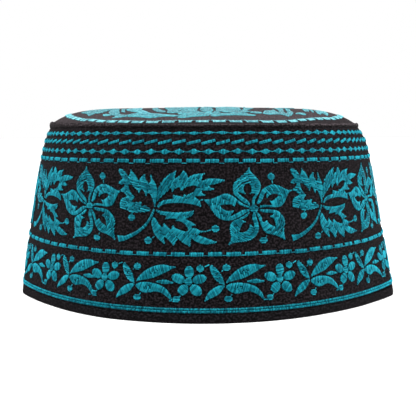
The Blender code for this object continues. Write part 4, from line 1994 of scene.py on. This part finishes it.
        # The lip swells and shrinks along its length, in waves that close round the oval
        pull = 1 + 0.12 * np.sin(160 * turn) * np.sin(37 * turn + 1.0) + 0.08 * np.sin(61 * turn)
        middle = float(self.form.half_width(self.form.band_top)) - self.seam_inset
        across = middle + self.seam_half_width * np.cos(side) * pull
        ripples = self.seam_ripple * np.sin(29 * turn)
        top = self.form.crown_edge(np.sin(turn)) + self.seam_above_crown + ripples
        half_height = (top - self.seam_foot) / 2
        height = self.seam_foot + half_height * (1 + np.sin(side) * pull)
        along = across + self.form.length_excess
        ring = np.stack([across * np.sin(turn), -along * np.cos(turn), height], 1)
        Modeller.move(piece, self.form.draw_in(ring))
        self.map_round(piece, turn, side * half_height, self.form.band_top)
        # Painted highlight along the lip's top, where it catches the light from above; the turn sets how
        # strong it is and how far down it reaches
        degrees = np.degrees(turn)
        lowest = np.interp(degrees, *self.seam_painted_highlight_above)
        near_top = np.clip((np.sin(side) - lowest) / self.seam_painted_highlight_over, 0.0, 1.0)
        Modeller.tone(piece, np.interp(degrees, *self.seam_painted_highlight) * near_top)
        Modeller.dress(piece, finish.material(), "seam_cloth")
        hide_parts("crown_seam")
        return piece

    def crown(self, finish: ClothFinish) -> bpy.types.Object:
        """Make the domed crown, a thin shell drawn in from its edge to its middle.

        Args:
            finish: The cloth's finish.

        Returns:
            The piece.
        """
        across = self.form.crown_half_width()
        along = across + self.form.length_excess
        rows, stations, inmost, crowding = 44, 288, 0.015, 1.6
        shares = [1 - (1 - inmost) * (1 - row / rows) ** crowding for row in range(rows + 1)]
        shares += shares[::-1]

        # The rings are lofted one above the other, then each point is put where the crown has it
        rise = 1 * MM
        rings = [Ring(across * share, along * share, rise * index) for index, share in enumerate(shares)]
        piece = Modeller.loft("crown_cloth", rings, stations, closed=False)
        points = Modeller.points(piece)
        under = points[:, 2] > rise * (rows + 0.5)
        place, _ = self.form.crown_place(points[:, 0], points[:, 1])
        inset = across * (1 - np.hypot(points[:, 0] / across, points[:, 1] / along))
        lowest = place[:, 2] - self.crown_wall

        # The underside stays clear of the band's top, and sinks to its full depth within the band
        past_band = inset + self.form.crown_inset - self.band_wall - self.clearance
        shelf = self.form.band_top + self.clearance / 2
        depth = (shelf - np.minimum(shelf, lowest)) * np.clip(past_band / MM, 0.0, 1.0)
        bottom = np.minimum(np.maximum(lowest, shelf - depth), place[:, 2] - 0.1 * MM)
        place[:, 2] = np.where(under, bottom, place[:, 2])
        Modeller.move(piece, place)

        # Pressed flat, the loft may have turned inside out
        faces = [face for face in piece.data.polygons if face.center.z > 74 * MM]
        if sum(face.normal.z * face.area for face in faces) < 0:
            piece.data.flip_normals()
        Modeller.map_cloth(piece, place[:, :2].copy(), 0.0)
        # Painted shade on the crown's margin, from its edge in to just past the ring's line, weaker at the
        # left
        turn = np.arctan2(points[:, 0] / across, -points[:, 1] / along)
        edge = RingGround(self.form).inset(turn) + self.painted_shade_past_ring
        near_edge = np.clip((edge - inset) / self.painted_shade_over, 0.0, 1.0)
        Modeller.tone(piece, np.interp(np.degrees(turn), *self.crown_margin_painted_shade) * near_edge)
        Modeller.dress(piece, finish.material(), "crown_cloth")
        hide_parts("crown_panel")
        return piece


class Figure(Enum):
    """The figures that the crown and band are sewn with."""

    FLOWER = LARGE_FLOWER
    SPRAY = LEAF_SPRAY
    SMALL = SMALL_MOTIF
    FRONT = CROWN_FRONT


@dataclass(frozen=True)
class BandRepeat:
    """A large figure that is sewn again and again round the band, in millimetres.

    It has the arc length from the front to each of its middles, and how far the figure leans there
    along the band for each millimetre of its height.
    """

    name: str
    seed: int
    figure: Figure
    height: float
    arcs: tuple[float, ...]
    leans: tuple[float, ...]


@dataclass(frozen=True)
class CrownPlace:
    """Where one figure lies on the crown's plan, in millimetres, and its turn in degrees."""

    figure: Figure
    x: float
    y: float
    turn: float
    scale: float = 1.0

    def ground(self, form: CapForm, opposite: bool = False) -> CrownGround:
        """Find the ground there.

        Args:
            form: The cap's surfaces.
            opposite: True for the same place turned half round the crown's middle.

        Returns:
            The ground for the figure.
        """
        sign = -1.0 if opposite else 1.0
        turn = math.radians(self.turn + 180.0 * opposite)
        return CrownGround(form, sign * self.x, sign * self.y, turn, self.scale)


@dataclass
class CapEmbroidery:
    """All of the cap's embroidery, row by row and figure by figure."""

    form: CapForm
    thread: bpy.types.Material
    # The crown's and the ring's threads are the band's thread, painted lighter for the stronger light up
    # there
    crown_thread_painted_lighter: bpy.types.Material
    dash_thread_painted_lighter: bpy.types.Material
    pitch: float = 0.42

    # The large figures, with their arc lengths measured round the band at the height of their gauge. The
    # photo shows the first five flowers and the sprays between them.
    large_gauge: float = 41.0
    large_sags: Pair = (0.15, 0.0)
    large_repeats: tuple[BandRepeat, ...] = (
        BandRepeat(
            "large_flowers", 11, Figure.FLOWER, height=40.9,
            arcs=(-116.0, -48.0, 18.2, 85.0, 152.0, 223.1, 294.2, 365.3),
            leans=(-0.1, -0.19, 0.0, 0.08, 0.1, 0.0, 0.0, -0.05),
        ),
        BandRepeat(
            "leaf_sprays", 12, Figure.SPRAY, height=40.5,
            arcs=(-152.9, -84.8, -18.8, 48.5, 114.9, 186.0, 257.1, 328.2),
            leans=(-0.1, -0.18, 0.0, 0.14, 0.1, 0.05, 0.0, 0.0),
        ),
    )

    # Hearts of the small flowers near the hem that the photo shows; the rest are spaced evenly
    small_gauge: float = 15.0
    small_seen: tuple[float, ...] = (-106.2, -71.6, -39.4, -5.9, 28.4, 61.7, 96.1)
    small_unseen: int = 10

    # The level rows of the band
    borders: tuple[BorderRidge, ...] = (
        BorderRidge(low=3.6, high=4.78, sags=(0.0, 0.15)),
        BorderRidge(low=4.52, high=5.66, sags=(0.0, 0.15)),
    )
    dashes: tuple[DashRow, ...] = (
        DashRow(low=23.8, high=25.65, count=84, dash=5.3, gap_at=0.3, thread_height=24.0, sags=(0.6, 0.4)),
        DashRow(
            low=57.6, high=59.35, count=77, dash=5.2, gap_at=-0.7, thread_height=57.3, sags=(0.55, 0.4),
        ),
    )
    diamonds: tuple[DiamondRow, ...] = (
        DiamondRow(height=61.8, count=97, length=4.5, tall=2.4, first_at=1.35, sags=(0.5, 0.2)),
        DiamondRow(
            height=68.55, count=97, length=4.9, tall=1.55, first_at=1.3, sags=(0.3, 0.0), taller_aside=0.7,
        ),
    )
    bars: tuple[SlantedRow, ...] = (
        SlantedRow(low=64.7, high=65.85, count=96, run_across=4.75, first_at=-1.0, sags=(0.1, 0.0)),
    )

    # The crown's ring of dashes. Towards the right ear they lean and are shorter along the line, and
    # towards both ears they are wider across it.
    ring_count: int = 73
    ring_gap_at: float = 2.2
    ring_dash: float = 4.3
    ring_shorter: float = 0.16
    ring_width: float = 2.5
    ring_wider: float = 0.12
    ring_relief: float = 0.42
    ring_lean: float = 0.6
    ring_lean_rise: float = 0.7
    ring_threads: int = 10
    ring_thread: float = 0.5
    ring_slack: float = 0.03
    ring_wander: float = 0.1
    joint_thread: float = 0.34
    joint_tuck: float = 0.3
    joint_inset: float = 0.5
    joint_bow: float = 0.4
    crown_relief: float = 0.3

    crown_half: tuple[CrownPlace, ...] = (
        CrownPlace(Figure.FRONT, 0.0, 0.0, 0.0),
        CrownPlace(Figure.SPRAY, -33.0, 0.0, 90.0, 0.64),
    )
    crown_middle: tuple[CrownPlace, ...] = (
        CrownPlace(Figure.FLOWER, 0.0, 0.0, 0.0, 0.8),
        CrownPlace(Figure.SMALL, -6.0, -26.0, 10.0, 0.8),
        CrownPlace(Figure.SMALL, 6.0, 26.0, 190.0, 0.8),
    )

    def __post_init__(self) -> None:
        """Make the sewers of the band and the crown, which share one planner."""
        planner = Stitches(self.pitch)
        self.sewer = MotifSewer(planner)
        self.crown_sewer = MotifSewer(planner, height=self.crown_relief)

    def ground(self, arc: float, height: float, gauge: float, lean: float = 0.0) -> BandGround:
        """The ground of a band figure, from its millimetres round and up and its lean."""
        height -= float(sag(self.form, arc, gauge, self.large_sags))
        return BandGround(self.form, arc, height, gauge, lean)

    def large_figures(self) -> list[bpy.types.Object]:
        """Sew the large flowers of the band and the leaf sprays between them.

        Returns:
            Both pieces.
        """
        pieces = []
        for repeat in self.large_repeats:
            piece = Embroidery(repeat.name, repeat.seed)
            for arc, lean in zip(repeat.arcs, repeat.leans):
                ground = self.ground(arc, repeat.height, self.large_gauge, lean)
                self.sewer.sew(piece, repeat.figure.value, ground)
            pieces.append(piece.finish(self.thread))
        return pieces

    def small_figures(self) -> bpy.types.Object:
        """Sew the row of small flowers and leaves near the hem.

        Returns:
            The piece.
        """
        piece = Embroidery("small_flowers_and_leaves", seed=13)
        girth = self.form.girth(self.small_gauge * MM) / MM
        first, last = self.small_seen[0] + girth, self.small_seen[-1]
        step = (first - last) / (self.small_unseen + 1)
        unseen = [last + step * (index + 1) for index in range(self.small_unseen)]
        for arc in [*self.small_seen, *unseen]:
            ground = self.ground(arc, self.small_gauge, self.small_gauge)
            self.sewer.sew(piece, Figure.SMALL.value, ground)
        return piece.finish(self.thread)

    def rows(self) -> list[bpy.types.Object]:
        """Sew the level rows: dashes, diamonds, slanted bars and the double border.

        Returns:
            The four pieces.
        """
        kinds = (
            ("dash_rows", 14, self.dashes), ("diamond_rows", 15, self.diamonds),
            ("slanted_bars", 16, self.bars), ("double_border", 17, self.borders),
        )
        pieces = []
        for name, seed, rows in kinds:
            piece = Embroidery(name, seed)
            for row in rows:
                row.sew(piece, self.form)
            pieces.append(piece.finish(self.thread))
        return pieces

    def crown_figures(self) -> bpy.types.Object:
        """Sew the crown's flowers and sprays; the back half repeats the front half, turned half round.

        Returns:
            The piece.
        """
        piece = Embroidery("crown_figures", seed=18)
        sewn = [(place, opposite) for place in self.crown_half for opposite in (False, True)]
        sewn += [(place, False) for place in self.crown_middle]
        for place, opposite in sewn:
            self.crown_sewer.sew(piece, place.figure.value, place.ground(self.form, opposite))
        return piece.finish(self.crown_thread_painted_lighter)

    def crown_ring(self) -> bpy.types.Object:
        """Sew the ring of dashes just inside the crown's edge, with a thread from each to the next.

        Returns:
            The piece.
        """
        piece = Embroidery("crown_dash_ring", seed=19)
        ground = RingGround(self.form)
        girth = ground.girth() / MM
        step = girth / self.ring_count
        for index in range(self.ring_count):
            centre = self.ring_gap_at + (index + 0.5) * step
            wander = float(piece.dice.normal(0.0, self.ring_wander))
            to_right = math.sin(2 * math.pi * centre / girth)
            half = self.ring_width / 2 * (1 + self.ring_wider * abs(to_right))
            to_right = max(0.0, to_right)
            lean = self.ring_lean * to_right**self.ring_lean_rise
            dash = self.ring_dash * (1 - self.ring_shorter * to_right)
            places = np.linspace(-dash / 2, dash / 2, self.ring_threads) + centre
            low, high = 0 * places - half + wander, 0 * places + half + wander
            lines = np.stack([places + lean / 2, low, places - lean / 2, high], 1)
            piece.sew(ground, edged(lines), self.ring_thread, self.ring_relief, self.ring_slack)
            start, end = centre + self.ring_dash / 2, centre + step - self.ring_dash / 2
            inwards = half - self.joint_inset
            joint = Run((
                (start - self.joint_tuck, inwards), ((start + end) / 2, inwards + self.joint_bow),
                (end + self.joint_tuck, inwards),
            ))
            piece.sew(ground, Stitches.run(joint), self.joint_thread, self.joint_thread, 0.0)
        return piece.finish(self.dash_thread_painted_lighter)


@dataclass
class Studio:
    """The floor, the light and the camera."""

    floor_size: float = 12.0
    camera_place: tuple[float, float, float] = (1.1 * MM, -385.6 * MM, 69.5 * MM)
    camera_down: float = 5.54
    camera_roll: float = 0.18
    focal_pixels: float = 800.0
    frame_pixels: float = 416.0
    sensor: float = 36.0
    nearest: float = 10.0 * MM
    farthest: float = 50.0
    sky: float = 1.0
    sun: float = 7.0
    sun_angle: float = 30.0
    sun_tilt: float = 10.0
    sun_side: float = -8.0
    lamp_size: float = 0.6
    lamps_face: tuple[float, float, float] = (0.0, 0.0, 0.04)
    left_lamp_place: tuple[float, float, float] = (-1.25, -0.4, 0.35)
    left_lamp: float = 30.0
    right_lamp_place: tuple[float, float, float] = (1.25, -0.42, 0.35)
    right_lamp: float = 46.0

    def floor(self) -> None:
        """Lay the pale floor."""
        Modeller.start()
        bpy.ops.mesh.primitive_plane_add(size=self.floor_size, location=(0.0, 0.0, 0.0))
        floor = bpy.context.object
        floor.name = "studio_floor"
        floor.data.materials.append(FloorFinish().material())

    @staticmethod
    def stand(name: str, data: bpy.types.Light | bpy.types.Camera) -> bpy.types.Object:
        """Put a light or a camera in the scene.

        Args:
            name: Its name.
            data: The light or the camera.

        Returns:
            Its object, still at the origin.
        """
        stood = bpy.data.objects.new(name, data)
        bpy.context.scene.collection.objects.link(stood)
        return stood

    def lamp(self, name: str, place: tuple[float, float, float], watts: float) -> None:
        """Hang a soft square lamp that faces the cap.

        Args:
            name: The lamp's name.
            place: Where it hangs.
            watts: Its power.
        """
        light = bpy.data.lights.new(name, "AREA")
        light.size = self.lamp_size
        light.energy = watts
        lamp = self.stand(name, light)
        lamp.location = place
        towards = Vector(self.lamps_face) - lamp.location
        lamp.rotation_euler = towards.to_track_quat("-Z", "Y").to_euler()

    def light(self) -> None:
        """Light the cap softly from all round, with a broad light above and a lamp at each side.

        Colours come out as they are, because the view transform is the standard one.
        """
        world = bpy.data.worlds.new("studio")
        world.use_nodes = True
        background = world.node_tree.nodes["Background"]
        background.inputs["Color"].default_value = (1.0, 1.0, 1.0, 1.0)
        background.inputs["Strength"].default_value = self.sky
        bpy.context.scene.world = world
        sun = bpy.data.lights.new("overhead_light", "SUN")
        sun.energy = self.sun
        sun.angle = math.radians(self.sun_angle)
        lamp = self.stand("overhead_light", sun)
        lamp.rotation_euler = (math.radians(self.sun_tilt), math.radians(self.sun_side), 0.0)
        self.lamp("left_lamp", self.left_lamp_place, self.left_lamp)
        self.lamp("right_lamp", self.right_lamp_place, self.right_lamp)
        bpy.context.scene.view_settings.view_transform = "Standard"

    def camera(self) -> None:
        """Set the camera where the photo was taken from."""
        lens = bpy.data.cameras.new("photo_camera")
        lens.sensor_width = self.sensor
        lens.lens = self.sensor * self.focal_pixels / self.frame_pixels
        lens.clip_start = self.nearest
        lens.clip_end = self.farthest
        camera = self.stand("photo_camera", lens)
        turn = Matrix.Rotation(math.radians(90.0 - self.camera_down), 4, "X")
        turn = turn @ Matrix.Rotation(math.radians(-self.camera_roll), 4, "Z")
        camera.matrix_world = Matrix.Translation(self.camera_place) @ turn
        bpy.context.scene.camera = camera


# The band's cloth; its third colour is painted shade along the band's top, under the lip
BAND_CLOTH = ClothFinish(
    "black_band_cloth", dark=(0.0001, 0.0001, 0.0001), bloom_and_painted_sheen=(0.0086, 0.0068, 0.0081),
    painted_shading=(0.0022, 0.0017, 0.0021),
)
# The same black cloth painted lighter on the crown, a painted sheen; its third colour is painted shade on
# the crown's margin
CROWN_CLOTH_PAINTED_SHEEN = ClothFinish(
    "black_crown_cloth_painted_sheen", dark=(0.0105, 0.0082, 0.0092), bloom_and_painted_sheen=(0.0420, 0.0348, 0.0378),
    painted_shading=(0.0025, 0.0019, 0.0022),
)
# The lip's cloth; its third colour is a painted highlight along the lip's top
SEAM_CLOTH = ClothFinish(
    "black_seam_cloth", dark=(0.0001, 0.0001, 0.0001), bloom_and_painted_sheen=(0.0105, 0.0086, 0.0096),
    painted_shading=(0.0480, 0.0390, 0.0430),
)
HEM_CLOTH = ClothFinish("black_hem_cloth", dark=(0.0002, 0.0002, 0.0002), bloom_and_painted_sheen=(0.0066, 0.0056, 0.0067))
# Deep colours are painted shade where the threads dip, crest colours a painted highlight on their tops
BAND_THREAD = ThreadFinish(
    "turquoise_thread", deep=(0.0, 0.008, 0.013), body=(0.0, 0.050, 0.071), crest=(0.006, 0.165, 0.210),
    specular=0.03,
)
# The band's thread painted lighter, for the stronger light on the crown
CROWN_THREAD_PAINTED_LIGHTER = ThreadFinish(
    "turquoise_thread_painted_lighter_on_crown", deep=(0.004, 0.045, 0.058), body=(0.012, 0.096, 0.117),
    crest=(0.036, 0.222, 0.252), sheen=0.08, blotch_share=1.4,
)
# The band's thread painted lighter still, for the light on the ring's dashes
RING_THREAD_PAINTED_LIGHTER = ThreadFinish(
    "turquoise_thread_painted_lighter_on_ring", deep=(0.004, 0.030, 0.042), body=(0.024, 0.118, 0.143),
    crest=(0.100, 0.300, 0.325), sheen=0.08, blotch_share=1.3,
)


def main() -> None:
    """Build the cap's cloth and embroidery, then the studio, and work out some sizes of the cloth, which
    are not used.
    """
    logging.basicConfig(level=logging.INFO, format="%(message)s")
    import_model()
    form = CapForm()
    cloth = CapCloth(form)
    band, hem = cloth.band(BAND_CLOTH), cloth.hem(HEM_CLOTH)
    seam, crown = cloth.seam(SEAM_CLOTH), cloth.crown(CROWN_CLOTH_PAINTED_SHEEN)
    threads = [finish.material() for finish in (BAND_THREAD, CROWN_THREAD_PAINTED_LIGHTER, RING_THREAD_PAINTED_LIGHTER)]
    embroidery = CapEmbroidery(form, *threads)
    on_band = [*embroidery.large_figures(), embroidery.small_figures(), *embroidery.rows()]
    on_crown = [embroidery.crown_figures(), embroidery.crown_ring()]
    strip = (form.band_top - form.hem_height, form.girth(36 * MM))
    across = 2 * form.crown_half_width()
    oval = (across, across + 2 * form.length_excess)
    math.pi / 4 * oval[0] * oval[1]
    studio = Studio()
    studio.floor()
    studio.light()
    studio.camera()


if __name__ == "__main__":
    main()
